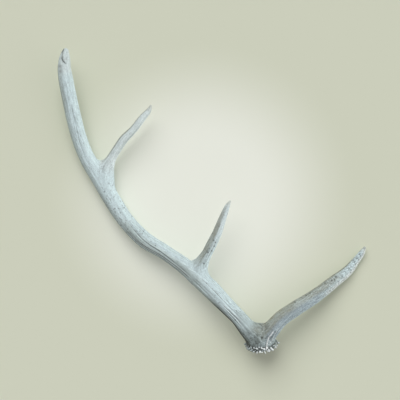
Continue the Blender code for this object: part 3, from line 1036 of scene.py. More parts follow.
class BoneGraph(Graph):
    """The nodes of weathered bone: its patterns, and the colour and relief that are made of them."""

    def __init__(self, finish: BoneFinish) -> None:
        """Sample every pattern, from the broadest to the finest, then the cracks and specks."""
        super().__init__("weathered_bone_painted_shade_and_light")
        self.finish = finish
        place = self.node("ShaderNodeTexCoord").outputs["Object"]
        self.broad = self.grain(finish.broad)
        self.streak = self.grain(finish.streaks)
        self.fibre = self.grain(finish.fibres)
        self.hair = self.grain(finish.hairs)
        self.cloud = self.noise(place, finish.clouds)
        self.pebble = self.noise(place, finish.pebbles)
        self.grit = self.noise(place, finish.grit)
        line = self.band(self.math("ABSOLUTE", self.minus(self.streak, 0.5)), 0.014, 0.002)
        self.crack = self.times(line, self.band(self.cloud, 0.44, 0.60))
        dots = self.math("MAXIMUM", self.dots(place, 260.0, 0.34, 0.10), self.dots(place, 150.0, 0.24, 0.05))
        self.specks = self.times(dots, self.number("specks"), clamp=True)

    def clean(self) -> Socket:
        """Streak the clean bone from vein to crest along its grain.

        Returns:
            The colour's socket.
        """
        finish = self.finish
        colour = self.mix(self.band(self.streak, 0.36, 0.58), finish.vein, finish.body)
        colour = self.mix(self.band(self.broad, 0.30, 0.60, (0.35, 1.0)), colour, finish.body)
        colour = self.mix(self.band(self.fibre, 0.44, 0.60), colour, finish.crest)
        colour = self.mix(self.band(self.fibre, 0.44, 0.30, (0.0, 0.6)), colour, finish.vein)
        colour = self.mix(self.times(self.band(self.cloud, 0.38, 0.62), 0.40), colour, finish.crest)
        colour = self.mix(self.number("crest"), colour, finish.crest)
        # The creamy white is real on the tips and painted reflected light on the brow tine's lower edge.
        return self.mix(self.number("cream"), colour, finish.cream)

    def weathered(self, colour: Socket) -> Socket:
        """Lay grimy grey, stains, dirt and specks over the clean bone.

        The grimy grey, brownish and green stains are partly painted shade on the sides turned from the lamps.

        Args:
            colour: the clean bone's colour.

        Returns:
            The colour's socket.
        """
        finish = self.finish
        # Partly painted shade: the grimy grey, brownish and green stains also darken the sides turned from
        # the lamps.
        grime = self.times(self.number("grime"), self.band(self.streak, 0.30, 0.62, (1.05, 0.72)), clamp=True)
        colour = self.mix(grime, colour, finish.grey)
        brown = self.times(self.number("brown"), self.band(self.fibre, 0.66, 0.36, (0.35, 1.0)), clamp=True)
        colour = self.mix(brown, colour, finish.brown)
        colour = self.mix(self.number("algae"), colour, finish.algae)
        slate = self.times(self.number("slate"), self.band(self.fibre, 0.66, 0.36, (0.5, 1.0)), clamp=True)
        colour = self.mix(slate, colour, finish.slate)
        # Partly painted shade: this dark includes the pearls' undersides and the beam's left edge by the
        # burr.
        darkening = self.plus(self.number("darkening"), self.times(self.crack, 0.6))
        darkening = self.times(darkening, self.band(self.grit, 0.25, 0.7, (0.7, 1.1)), clamp=True)
        colour = self.mix(darkening, colour, finish.dirt)
        colour = self.mix(self.specks, colour, finish.dirt)
        colour = self.mix(self.number("ivory"), colour, finish.ivory)
        return self.mix(self.number("pearl"), colour, finish.pearl)

    def mottled(self, colour: Socket) -> Socket:
        """Lighten and darken a colour with the finest patterns.

        Args:
            colour: the weathered colour.

        Returns:
            The colour's socket.
        """
        grit = self.band(self.grit, 0.3, 0.7, (0.89, 1.06))
        tone = self.times(grit, self.band(self.hair, 0.35, 0.62, (0.89, 1.03)))
        pebble = self.times(self.band(self.pebble, 0.38, 0.64, (-0.34, 0.16)), self.number("pebbles"))
        tone = self.times(tone, self.plus(pebble, 1.0))
        shade = self.node("ShaderNodeCombineColor", {0: tone, 1: tone, 2: tone})
        return self.mix(1.0, colour, shade.outputs[0], "MULTIPLY")

    def relief(self) -> Socket:
        """Raise the grain and grit, and sink the specks and cracks.

        Returns:
            The bumped normal's socket.
        """
        height = self.plus(self.times(self.fibre, 0.9), self.times(self.grit, 0.4))
        height = self.plus(height, self.times(self.hair, 0.25))
        height = self.minus(height, self.times(self.specks, 0.8))
        height = self.minus(height, self.times(self.crack, 0.5))
        values = {"Strength": self.finish.bump, "Distance": self.finish.bump_height, "Height": height}
        return self.node("ShaderNodeBump", values).outputs[0]


@dataclass(frozen=True)
class FloorFinish:
    """Smooth matt card with painted light: lighter in a wide soft circle under the antler, darker outside it.
    """

    edge: Colour = (0.6398, 0.6697, 0.5350)
    light_pool: Colour = (0.8335, 0.8605, 0.7685)
    centre: tuple[float, float] = (-0.0184, 0.0046)
    inner: float = 0.093
    outer: float = 0.276
    roughness: float = 0.9
    specular: float = 0.1

    def make(self) -> bpy.types.Material:
        """Build the material.

        Returns:
            The finished floor.
        """
        graph = Graph("floor_card")
        place = graph.node("ShaderNodeTexCoord").outputs["Object"]
        values = {"Location": (-self.centre[0], -self.centre[1], 0.0), "Vector": place}
        centred = graph.node("ShaderNodeMapping", values).outputs[0]
        away = graph.node("ShaderNodeVectorMath", {0: centred}, operation="LENGTH")
        # Painted light: the card fades from the lit colour in the middle to the darker edge colour between
        # inner and outer.
        share = graph.band(away.outputs["Value"], self.inner, self.outer)
        return graph.finished({
            "Base Color": graph.mix(share, self.light_pool, self.edge),
            "Roughness": self.roughness,
            "Specular IOR Level": self.specular,
        })


# ---------------------------------------------------------------- the burr


class TreeInput(Enum):
    """The named inputs of the pearl rows' geometry nodes, each with its socket type."""

    COUNT = ("Count", "NodeSocketInt")
    RADIUS = ("Row Radius", "NodeSocketFloat")
    HEIGHT = ("Height", "NodeSocketFloat")
    SIZE = ("Pearl Size", "NodeSocketVector")
    SPREAD = ("Size Spread", "NodeSocketFloat")
    STRAY = ("Stray", "NodeSocketFloat")
    LEAN = ("Lean", "NodeSocketFloat")
    SEED = ("Seed", "NodeSocketInt")
    FINISH = ("Finish", "NodeSocketMaterial")


class PearlRow(NamedTuple):
    """A ring of pearls: how many, the ring's radius and height, a pearl's radii and the row's seed."""

    count: int
    radius: float
    height: float
    size: tuple[float, float, float]
    seed: int


@dataclass
class Burr:
    """The flared foot of the beam: a turned rim with a convex seal beneath, edged with pearls.

    A pearl's radii are outwards, round the rim and up. Its radii vary by spread of themselves, and its place
    by stray. It twists by up to lean degrees about its outward radius, and tilts by less_lean of that. The
    band of pearls starts band_inside from the axis, reaches band_height both ways, and is least bleached
    where x is less than sheltered_before.
    """

    finish: bpy.types.Material
    centre: tuple[float, float, float] = (85.4, -243.8, 27.4)
    axis: tuple[float, float, float] = (-0.055, 0.925, 0.37)
    profile: Line = (
        (-6.0, 0.0), (-5.8, 7.0), (-5.0, 14.0), (-3.4, 19.0), (-1.2, 21.4), (-1.6, 23.2),
        (0.0, 25.2), (2.2, 25.0), (4.4, 23.4), (7.0, 21.0), (7.0, 0.0),
    )
    steps: int = 128
    rows: tuple[PearlRow, ...] = (
        PearlRow(33, 26.1, -0.2, (3.2, 1.7, 2.4), 7),
        PearlRow(26, 24.8, 4.4, (2.8, 1.7, 2.7), 21),
        PearlRow(19, 22.8, 7.4, (1.8, 1.1, 1.9), 5),
    )
    spread: float = 0.6
    stray: float = 1.5
    lean: float = 34.0
    less_lean: float = 0.35
    pearl_fineness: int = 3
    band_inside: float = 21.5
    band_inside_fade: float = 2.5
    band_height: float = 9.0
    band_height_fade: float = 3.0
    sheltered_before: float = 80.0
    sheltered_fade: float = 12.0
    rough_reach: float = 50.0
    sharp_reach: float = 52.0

    def direction(self) -> Vector:
        """Give the unit vector up the foot of the beam."""
        return Vector(self.axis).normalized()

    def frame(self) -> Matrix:
        """Give the matrix that puts the burr's own Z along the foot of the beam, in metres."""
        turn = self.direction().to_track_quat("Z", "Y").to_matrix().to_4x4()
        return Matrix.Translation(Vector(self.centre) * MM) @ turn

    def pearl_band(self, points: Array) -> Array:
        """Tell how far points are in the band of pearls round the rim.

        Args:
            points: rows of x, y and z.

        Returns:
            A share for each point.
        """
        offset = points - self.centre
        height = offset @ np.array(self.direction())
        outward = np.linalg.norm(offset - height[:, None] * np.array(self.direction()), axis=1)
        inside = smooth((outward - self.band_inside) / self.band_inside_fade)
        return inside * smooth((self.band_height - np.abs(height)) / self.band_height_fade)

    def rim(self) -> bpy.types.Object:
        """Turn the rim from its profile.

        Returns:
            The rim, in place.
        """
        mesh = bpy.data.meshes.new("burr_rim")
        points = [(radius * MM, 0.0, height * MM) for height, radius in reversed(self.profile)]
        mesh.from_pydata(points, [(i, i + 1) for i in range(len(points) - 1)], [])
        obj = linked("burr_rim", mesh)
        turned = obj.modifiers.new("turned", "SCREW")
        turned.axis = "Z"
        turned.steps = turned.render_steps = self.steps
        turned.use_merge_vertices = True
        turned.merge_threshold = 0.00001
        obj.matrix_world = self.frame()
        return obj

    def row_tree(self) -> bpy.types.GeometryNodeTree:
        """Build the geometry nodes that set uneven pearls round a ring.

        Returns:
            The node tree.
        """
        tree = bpy.data.node_groups.new("pearl_row", "GeometryNodeTree")
        for entry in TreeInput:
            tree.interface.new_socket(entry.value[0], in_out="INPUT", socket_type=entry.value[1])
        tree.interface.new_socket("Geometry", in_out="OUTPUT", socket_type="NodeSocketGeometry")
        nodes = Nodes(tree)
        group = nodes.node("NodeGroupInput")
        given = {entry: group.outputs[entry.value[0]] for entry in TreeInput}

        def vector(operation: str, a: Socket, b: object = (0.0, 0.0, 0.0), scale: object = 1.0) -> Socket:
            """Add a vector sum, product or scaling."""
            return nodes.node("ShaderNodeVectorMath", {0: a, 1: b, 3: scale}, operation=operation).outputs[0]

        def chance(salt: int, scale: Socket) -> Socket:
            """Add a random vector on each pearl, from minus to plus the scale."""
            seed = nodes.node("ShaderNodeMath", {0: given[TreeInput.SEED], 1: salt}, operation="ADD")
            values = {0: (-1.0, -1.0, -1.0), 1: (1.0, 1.0, 1.0), "Seed": seed.outputs[0]}
            drawn = nodes.node("FunctionNodeRandomValue", values, data_type="FLOAT_VECTOR")
            return vector("SCALE", drawn.outputs[0], scale=scale)

        values = {"Vertices": given[TreeInput.COUNT], "Radius": given[TreeInput.RADIUS]}
        ring = nodes.node("GeometryNodeMeshCircle", values)
        lift = nodes.node("ShaderNodeCombineXYZ", {"Z": given[TreeInput.HEIGHT]}).outputs[0]
        offset = vector("ADD", lift, chance(1, given[TreeInput.STRAY]))
        values = {"Geometry": ring.outputs["Mesh"], "Offset": offset}
        places = nodes.node("GeometryNodeSetPosition", values).outputs[0]

        values = {"Radius": 1.0, "Subdivisions": self.pearl_fineness}
        pearl = nodes.node("GeometryNodeMeshIcoSphere", values).outputs["Mesh"]
        place = nodes.node("GeometryNodeInputPosition").outputs[0]
        outward = nodes.node("FunctionNodeAlignRotationToVector", {"Vector": place}, axis="X").outputs[0]
        lean = vector("MULTIPLY", chance(2, given[TreeInput.LEAN]), (1.0, self.less_lean, self.less_lean))
        lean = nodes.node("FunctionNodeEulerToRotation", {0: lean}).outputs[0]
        values = {"Rotation": outward, "Rotate By": lean}
        turned = nodes.node("FunctionNodeRotateRotation", values, rotation_space="LOCAL").outputs[0]
        uneven = vector("ADD", chance(3, given[TreeInput.SPREAD]), (1.0, 1.0, 1.0))
        size = vector("MULTIPLY", uneven, given[TreeInput.SIZE])

        values = {"Points": places, "Instance": pearl, "Rotation": turned, "Scale": size}
        grown = nodes.node("GeometryNodeInstanceOnPoints", values)
        real = nodes.node("GeometryNodeRealizeInstances", {0: grown.outputs[0]})
        values = {"Geometry": real.outputs[0], "Material": given[TreeInput.FINISH]}
        dressed = nodes.node("GeometryNodeSetMaterial", values)
        nodes.node("NodeGroupOutput", {0: dressed.outputs[0]})
        return tree

    def pearls(self) -> list[bpy.types.Object]:
        """Grow each row of pearls.

        Returns:
            The rows, in place.
        """
        tree = self.row_tree()
        keys = {item.name: item.identifier for item in tree.interface.items_tree if item.in_out == "INPUT"}
        grown = []
        for i, row in enumerate(self.rows):
            obj = linked(f"pearl_row_{i}", bpy.data.meshes.new(f"pearl_row_{i}"))
            nodes = obj.modifiers.new("pearls", "NODES")
            nodes.node_group = tree
            values = {
                TreeInput.COUNT: row.count,
                TreeInput.RADIUS: row.radius * MM,
                TreeInput.HEIGHT: row.height * MM,
                TreeInput.SIZE: tuple(side * MM for side in row.size),
                TreeInput.SPREAD: self.spread,
                TreeInput.STRAY: self.stray * MM,
                TreeInput.LEAN: math.radians(self.lean),
                TreeInput.SEED: row.seed,
                TreeInput.FINISH: self.finish,
            }
            for entry, value in values.items():
                nodes[keys[entry.value[0]]] = value
            obj.matrix_world = self.frame()
            grown.append(obj)
        return grown


# ---------------------------------------------------------------- the carving


@dataclass(frozen=True)
class Ledge:
    """The step that the break left in the tip: its line from above, its drop and the dirt at its foot."""

    line: Line = (
        (-248.5, 266.0), (-249.9, 259.2), (-251.4, 253.3), (-252.3, 246.7), (-252.6, 242.3), (-250.6, 237.9),
        (-247.0, 234.3), (-243.8, 232.0),
    )
    drop: float = 4.6
    width: float = 5.0
    edge: float = 0.9
    fade: float = 0.36
    dirt_places: tuple[float, ...] = (0.14, 0.62)
    dirt_length: float = 0.13
    dirt_offset: float = 1.1
    dirt_width: float = 1.5
    least_dirt: float = 0.3

    def shape(self, points: Array) -> tuple[Array, Array]:
        """Shape the step.

        Args:
            points: rows of x, y and z.

        Returns:
            How far each point drops, deepest just right of the line, and how dirty it is.
        """
        _, side, along = from_line(points, self.line)
        end = smooth((1.0 - along) / self.fade)
        right = smooth(side / self.edge + 0.5)
        drop = self.drop * end * right * np.exp(-np.clip(side, 0.0, None) / self.width)
        patches = sum(np.exp(-(((along - place) / self.dirt_length) ** 2)) for place in self.dirt_places)
        dirt = end * np.exp(-(((side - self.dirt_offset) / self.dirt_width) ** 2))
        dirt *= self.least_dirt + (1 - self.least_dirt) * patches
        return drop, dirt


@dataclass(frozen=True)
class Relief:
    """The fine relief's heights and sizes, in millimetres, and the dirt in it, from 0 to 1.

    A pore's depth is a share of its radius, and a pit of full_pit or deeper is as dirty as can be. The brow
    tine is smooth at its root and roughest from brow_rough on, and every tine's last ivory is polished.
    """

    fibres: tuple[Fibre, ...] = (Fibre(2.2, 16.0, 0.20, 1), Fibre(5.5, 60.0, 0.24, 2))
    granule_sizes: tuple[float, float] = (2.2, 1.2)
    granules: float = 0.07
    granules_on_bow: float = 0.10
    granules_at_foot: float = 0.06
    lump_size: float = 5.5
    lumps_at_foot: float = 0.3
    crag_size: float = 4.2
    crag_stretch: float = 0.55
    crags: float = 0.9
    ridge_fade: float = 0.12
    pores: int = 520
    pores_elsewhere: float = 0.12
    pore_radii: tuple[float, float] = (0.4, 0.8)
    pore_depth: float = 0.5
    pore_dirt: float = 0.6
    full_pit: float = 0.7
    pit_dirt: float = 0.8
    hollow_dirt: float = 0.9
    ledge_dirt: float = 0.62
    blotch_size: float = 6.0
    blotches: Fibre = Fibre(2.4, 9.0, 1.0, 22)
    blotch_dirt: float = 0.46
    brow_smooth: float = 10.0
    brow_rough: float = 120.0
    ivory: float = 14.0
    seed: int = 4


class BranchMap:
    """Which branches the skin's points belong to, and where they lie on them."""

    def __init__(self, beam: Branch, tines: tuple[Branch, ...], points: Array) -> None:
        """Place the points on every branch, and share each between the beam and its nearest tine."""
        self.beam = beam
        self.tines = tines
        self.on_beam = beam.place(points)
        self.on_tines = [tine.place(points) for tine in tines]
        self.nearest = np.argmin([place.out for place in self.on_tines], axis=0)
        self.on_tine = Place(*(np.choose(self.nearest, column) for column in zip(*self.on_tines)))
        self.share = smooth(0.5 + (self.on_beam.out - self.on_tine.out) * FORK_SHARPNESS)
        self.beam_grain = self.on_beam.unrolled(0.0)
        self.tine_grain = self.on_tine.unrolled(TINE_SHIFT + TINE_STEP * self.nearest)

    def blend(self, on_beam: Array, on_tine: Array) -> Array:
        """Mix what was worked out on the beam and on the nearest tine."""
        return (1 - self.share) * on_beam + self.share * on_tine

    def gather(self, work: Callable[[Branch, Place], Array]) -> Array:
        """Work something out on every branch and mix it at each point.

        Args:
            work: what gives the values from a branch and the points' places on it.

        Returns:
            The mixed values.
        """
        on_tines = [work(tine, place) for tine, place in zip(self.tines, self.on_tines)]
        return self.blend(work(self.beam, self.on_beam), np.choose(self.nearest, on_tines))

    def noise(self, fibre: Fibre) -> Array:
        """Sample noise stretched along the grain.

        Args:
            fibre: the noise's sizes.

        Returns:
            A height for each point.
        """
        stretch = np.array((1.0, 1.0, fibre.across / fibre.along))
        grains = (self.beam_grain * stretch, self.tine_grain * stretch)
        return fibre.height * self.blend(*(perlin(grain, fibre.across, fibre.seed) for grain in grains))

    def stains(self, kind: Weather) -> Array:
        """Gather one kind of weather from the beam and the tines."""
        return self.gather(lambda branch, place: branch.stains(place, kind))

    def grain(self) -> Array:
        """Give each point's straightened place on the branch that it is mostly on."""
        return np.where(self.share[:, None] > 0.5, self.tine_grain, self.beam_grain)

    def sturdiness(self) -> Array:
        """Tell how much relief each point's branch is thick enough for, from 0 to 1."""
        radius = np.where(self.share > 0.5, self.on_tine.radius, self.on_beam.radius)
        return np.minimum(1.0, radius / FULL_RELIEF_RADIUS)

    def to_end(self) -> Array:
        """Measure how far each point is from the end of its nearest tine."""
        return np.array([tine.length() for tine in self.tines])[self.nearest] - self.on_tine.along


class Carver:
    """Carves the grain, the broken tip and the pores into a faired skin, and notes what its bone shows."""

    def __init__(self, antler: "Antler", burr: Burr, skin: SkinMesh) -> None:
        """Find where the points lie before anything is carved."""
        self.antler = antler
        self.relief = antler.relief
        self.burr = burr
        self.skin = skin
        self.points = skin.points.copy()
        self.normals = skin.normals()
        self.map = BranchMap(antler.beam, antler.tines, self.points)
        self.brow = (self.map.nearest == 0) * self.map.share
        self.facing = np.clip(self.normals[:, 2] * 3.0, 0.0, 1.0)
        self.foot = closeness(self.points, (Spot(*burr.centre, burr.rough_reach),))
        self.tip = closeness(self.points, (antler.broken_tip,))
        self.porous = closeness(self.points, antler.porous)
        self.pearly = self.foot * burr.pearl_band(self.points)
        self.calm = 1 - 0.8 * self.pearly
        self.channels, self.dirt, self.white = self.map.gather(Branch.channels)
        self.height = np.zeros(len(self.points))
        self.pores = np.zeros(len(self.points))

    def raise_grain(self) -> None:
        """Raise the grooved and fluted grain, its fibres and, at the burr and the bow, its granules."""
        relief = self.relief
        fibres = sum(self.map.noise(fibre) for fibre in relief.fibres)
        coarse, fine = relief.granule_sizes
        granules = perlin(self.points, coarse, seed=3) + 0.5 * perlin(self.points, fine, seed=7)
        rough = relief.granules + relief.granules_on_bow * self.porous + relief.granules_at_foot * self.foot
        flutes = self.map.gather(Branch.fluting)
        self.height += (self.channels + flutes + self.map.sturdiness() * fibres) * self.calm
        self.height += granules * rough * self.calm
        lumps = perlin(self.points, relief.lump_size, seed=5)
        self.height += self.foot * self.calm * lumps * relief.lumps_at_foot

    def break_tip(self) -> Array:
        """Crack the tip and cut its ledge, which is dirty at its foot.

        Returns:
            How far each point drops.
        """
        stretched = self.points * (1.0, self.relief.crag_stretch, 1.0)
        crags = 1.0 - np.abs(perlin(stretched, self.relief.crag_size, seed=6)) * 2.0
        self.height -= smooth(self.tip) * (np.clip(crags - 0.6, 0.0, 1.0) * self.relief.crags)
        drop, dirt = self.antler.ledge.shape(self.points)
        self.dirt = self.dirt + self.relief.ledge_dirt * dirt * smooth(self.tip * 1.5)
        return drop * smooth(self.tip * 1.5) * self.facing

    def raise_ridges(self) -> None:
        """Raise the thin white ridges at the root of the brow tine."""
        for ridge in self.antler.ridges:
            away, _, along = from_line(self.points, ridge.line)
            ends = smooth(np.minimum(along, 1.0 - along) / self.relief.ridge_fade)
            rise = self.facing * np.exp(-((away / ridge.width) ** 2)) * ends
            self.height += ridge.height * rise
            self.white = np.maximum(self.white, ridge.white * rise)

    def sink_pores(self) -> None:
        """Sink the large pits in their places and scatter the small pores."""
        for pit in self.antler.pits:
            away = np.hypot(self.points[:, 0] - pit.x, self.points[:, 1] - pit.y) / pit.radius
            dip = np.exp(-(away**2)) * self.facing
            self.height -= pit.depth * dip
            self.pores = np.maximum(self.pores, min(pit.depth / self.relief.full_pit, 1.0) * dip)
        grain = self.map.grain()
        for point, radius in self.scattered():
            dip = np.exp(-(((grain - grain[point]) * (1.0, 1.0, 0.5)) ** 2).sum(1) / radius**2)
            self.height -= self.relief.pore_depth * radius * dip
            self.pores = np.maximum(self.pores, self.relief.pore_dirt * dip)

    def scattered(self) -> list[tuple[int, float]]:
        """Scatter small pores, most of them where the bone is porous.

        Returns:
            The point that each pore is at, and its radius.
        """
        chance = random.Random(self.relief.seed)
        odds = np.cumsum(self.relief.pores_elsewhere + self.porous)
        picked = [int(np.searchsorted(odds, chance.random() * odds[-1])) for _ in range(self.relief.pores)]
        return [(point, chance.uniform(*self.relief.pore_radii)) for point in picked]

    def note_grain(self) -> None:
        """Note the grain's directions, and how fine and how specked the bone is."""
        relief = self.relief
        out = (self.map.on_tines[0].along - relief.brow_smooth) / (relief.brow_rough - relief.brow_smooth)
        brow_end = self.brow * smooth(out)
        rough = 0.05 + 0.15 * self.porous + 0.22 * self.map.share + 0.5 * brow_end + 0.8 * self.foot
        self.skin.note_rows("grain_beam", self.map.beam_grain)
        self.skin.note_rows("grain_tine", self.map.tine_grain)
        self.skin.note("tine_share", self.map.share)
        self.skin.note("pebbles", rough)
        self.skin.note("ivory", self.map.share * smooth(1.0 - self.map.to_end() / relief.ivory) * 0.55)
        self.skin.note("specks", 0.15 + 0.30 * self.porous + 0.2 * self.brow + 0.3 * self.foot)

    def note_weather(self, hollow: Array) -> None:
        """Note the stains of every kind but the painted edge shade, which the rubbed ridges stay clean of.

        The grimy grey, brownish and green stains are partly painted shade; the creamy ones partly painted
        light.

        Args:
            hollow: how hollow the carved skin is.
        """
        clean = 1 - 0.85 * smooth((self.channels - 0.35) / 0.8)
        # shaded is painted shade: faces turned to the lower left, away from the lamps, get a little grimy
        # grey.
        shaded = smooth((-self.normals[:, 0] * 0.8 - self.normals[:, 1] * 0.6 + 0.15) / 0.9)
        grime = (self.map.stains(Weather.GRIME) + 0.08 * shaded) * (1 - 0.5 * self.pearly) * clean
        crest = smooth((self.channels - 0.2) / 0.7) * 0.85 + np.clip(-hollow - 0.10, 0.0, 0.4)
        crest = np.maximum(crest, self.map.stains(Weather.BLEACH)) * self.calm
        # The brownish stains are partly painted shade on the tines' left sides.
        brown = self.map.stains(Weather.BROWN) * (1 - 0.9 * self.pearly) * clean
        self.skin.note("grime", grime, most=0.95)
        self.skin.note("crest", crest, most=0.9)
        self.skin.note("brown", brown, most=0.9)
        # The green stains are a real tint and also painted shade along the beam's left side.
        self.skin.note("algae", self.map.stains(Weather.ALGAE) * clean, most=0.9)
        self.skin.note("slate", self.map.stains(Weather.SLATE) * clean, most=0.9)
        # The creamy stains include painted reflected light on the brow tine's lower edge.
        self.skin.note("cream", self.map.stains(Weather.CREAM), most=0.9)

    def note_dirt(self, hollow: Array) -> None:
        """Note dirt in hollows and pores, earth blotches, pearl gaps, and the whiteness of pearls and ridges.

        Part of the dark is painted shade, under the pearls and along the beam's left edge by the burr, and
        the pearls' down-turned sides are left unwhitened as painted shade.

        Args:
            hollow: how hollow the carved skin is.
        """
        # below is painted shade: the pearls' sides facing -y, away from the overhead lamp, are darkened and
        # less whitened.
        below = self.pearly * smooth((-self.normals[:, 1] - 0.55) / 0.35)
        gaps = self.pearly * smooth((hollow + 0.10) / 0.18)
        lumps = 0.6 * perlin(self.points, self.relief.blotch_size, seed=21)
        lumps += self.map.noise(self.relief.blotches)
        blotches = smooth((lumps - 0.10) / 0.30) * smooth(self.foot * 1.6) * (1 - self.pearly)
        # The edge stains here are painted shade along the beam's left edge by the burr; the blotches are real
        # earth.
        soil = self.map.stains(Weather.SOIL) * (1 - 0.6 * self.pearly) + self.relief.blotch_dirt * blotches
        darkening = self.dirt + self.relief.hollow_dirt * np.clip(hollow - 0.10, 0.0, 0.6)
        darkening += self.relief.pit_dirt * self.pores
        self.skin.note("darkening", darkening * self.calm + gaps + soil + 0.45 * below, most=0.95)
        # The pearls are whitened mostly on their sides turned up the beam; their darker down-turned sides are
        # painted shade.
        raised = smooth((self.normals @ np.array(self.burr.direction()) + 0.35) / 0.6)
        sheltered = smooth((self.burr.sheltered_before - self.points[:, 0]) / self.burr.sheltered_fade)
        pearl = self.pearly * smooth((-hollow + 0.01) / 0.15) * (0.10 + 0.90 * raised)
        pearl *= (1 - 0.7 * sheltered) * (1 - 0.6 * below)
        self.skin.note("pearl", np.maximum(pearl, self.white))

    def carve(self) -> None:
        """Move the skin's points, and note what the material needs."""
        self.raise_grain()
        drop = self.break_tip()
        self.raise_ridges()
        self.sink_pores()
        self.skin.points += self.normals * self.height[:, None]
        self.skin.points[:, 2] -= drop
        hollow = self.skin.hollows(self.antler.voxel)
        self.note_grain()
        self.note_weather(hollow)
        self.note_dirt(hollow)


# ---------------------------------------------------------------- the whole antler


@dataclass
class Antler:
    """The whole antler as one skin of bone.

    The footprint's middle is where the solids' own middle lies among these measurements. Rubbed is how much
    is worn flat where the antler touches the floor. The protected spots stay as fine as the fused skin.
    """

    finish: bpy.types.Material
    beam: Branch = Branch("beam", BEAM_STATIONS, BEAM_GRAIN, BEAM_STAINS)
    tines: tuple[Branch, ...] = (
        Branch("brow", BROW_STATIONS, BROW_GRAIN, BROW_STAINS),
        Branch("middle", MIDDLE_STATIONS, MIDDLE_GRAIN, MIDDLE_STAINS),
        Branch("upper", UPPER_STATIONS, UPPER_GRAIN, UPPER_STAINS),
    )
    webs: tuple[Web, ...] = (
        Web(-190.6, 58.2, 16.5, 11.0, 13.5, 8.0),
        Web(-28.6, -106.6, 37.0, 9.5, 8.5, 7.0),
        Web(82.0, -214.6, 37.0, 12.0, 9.5, 9.0),
    )
    web_fineness: int = 4
    voxel: float = 0.8
    faired: tuple[Spot, ...] = (
        Spot(98.0, -219.0, 38.0, 33.0),
        Spot(-14.0, -108.0, 41.0, 30.0),
        Spot(-4.0, -124.0, 36.0, 18.0),
        Spot(-175.0, 60.0, 18.5, 32.0),
        Spot(-161.0, 16.0, 15.0, 20.0),
    )
    fairing_passes: int = 157
    smoothing_passes: int = 3
    broken_tip: Spot = Spot(-250.0, 250.0, 42.0, 26.0)
    ledge: Ledge = Ledge()
    ridges: tuple[Ridge, ...] = (
        Ridge(
            (
                (91.0, -254.0), (91.9, -249.5), (92.5, -243.1), (93.2, -237.9),
                (94.6, -233.0), (96.4, -228.4), (101.0, -222.6), (105.4, -216.6),
            ),
            0.85, 1.5, 0.95,
        ),
        Ridge(
            ((96.0, -243.0), (98.6, -238.0), (103.7, -229.6), (108.8, -219.4), (113.9, -212.6)),
            0.7, 0.8, 0.35,
        ),
    )
    relief: Relief = Relief()
    pits: tuple[Pit, ...] = PITS
    porous: tuple[Spot, ...] = (Spot(-155.0, -25.0, 30.0, 70.0), Spot(225.0, -112.0, 12.0, 62.0))
    footprint_middle: tuple[float, float] = (1.890, 1.377)
    rubbed: float = 0.4
    triangles: int = 190_000
    protected: tuple[Spot, ...] = (Spot(85.4, -243.8, 27.4, 62.0), Spot(-250.0, 248.0, 42.0, 34.0))
    protection_levels: int = 9

    def crotch_webs(self) -> bpy.types.Object:
        """Build the webs that round out the crotches.

        Returns:
            The webs, as one object.
        """
        work = bmesh.new()
        for x, y, z, *radii in self.webs:
            size = Matrix.Diagonal((*(radius * MM for radius in radii), 1.0))
            place = Matrix.Translation(Vector((x, y, z)) * MM) @ size
            bmesh.ops.create_icosphere(work, subdivisions=self.web_fineness, radius=1.0, matrix=place)
        mesh = bpy.data.meshes.new("webs")
        work.to_mesh(mesh)
        work.free()
        return linked("webs", mesh)

    def fuse(self, burr: Burr) -> SkinMesh:
        """Join the branches and the burr under one closed skin.

        Args:
            burr: the burr at the beam's foot.

        Returns:
            The skin, in millimetres.
        """
        branches = [branch.loft() for branch in (self.beam, *self.tines)]
        pieces = [*branches, self.crotch_webs(), burr.rim(), *burr.pearls()]
        whole = bmesh.new()
        for piece in pieces:
            mesh = baked(piece)
            whole.from_mesh(mesh)
            bpy.data.meshes.remove(mesh)
        for obj in pieces:
            bpy.data.objects.remove(obj)
        mesh = bpy.data.meshes.new("antler")
        whole.to_mesh(mesh)
        whole.free()
        obj = linked("antler_draft", mesh)
        skin = obj.modifiers.new("skin", "REMESH")
        skin.mode = "VOXEL"
        skin.voxel_size = self.voxel * MM
        fused = SkinMesh(baked(obj))
        bpy.data.objects.remove(obj)
        return fused

    def fair(self, skin: SkinMesh, burr: Burr) -> None:
        """Fair the forks, and smooth all but the burr and the broken tip a little.

        Args:
            skin: the fused skin.
            burr: the burr at its foot.
        """
        skin.relax(self.fairing_passes, closeness(skin.points, self.faired))
        sharp = closeness(skin.points, (Spot(*burr.centre, burr.sharp_reach), self.broken_tip))
        skin.relax(self.smoothing_passes, 1.0 - sharp)

    def settle(self, skin: SkinMesh) -> None:
        """Lay the antler on the floor, rub it flat there and keep it in the solids' box.

        Args:
            skin: the carved skin, which becomes metres.
        """
        low, high = (np.array(corner) / MM for corner in CAD_BOX)
        skin.points -= (*self.footprint_middle, skin.points[:, 2].min() + self.rubbed)
        skin.points[:, 2] = np.maximum(skin.points[:, 2], low[2])
        over = np.maximum(skin.points.max(0) / high, 1.0)
        over[:2] = np.maximum(over[:2], skin.points.min(0)[:2] / low[:2])
        skin.points /= over
        skin.store(MM)

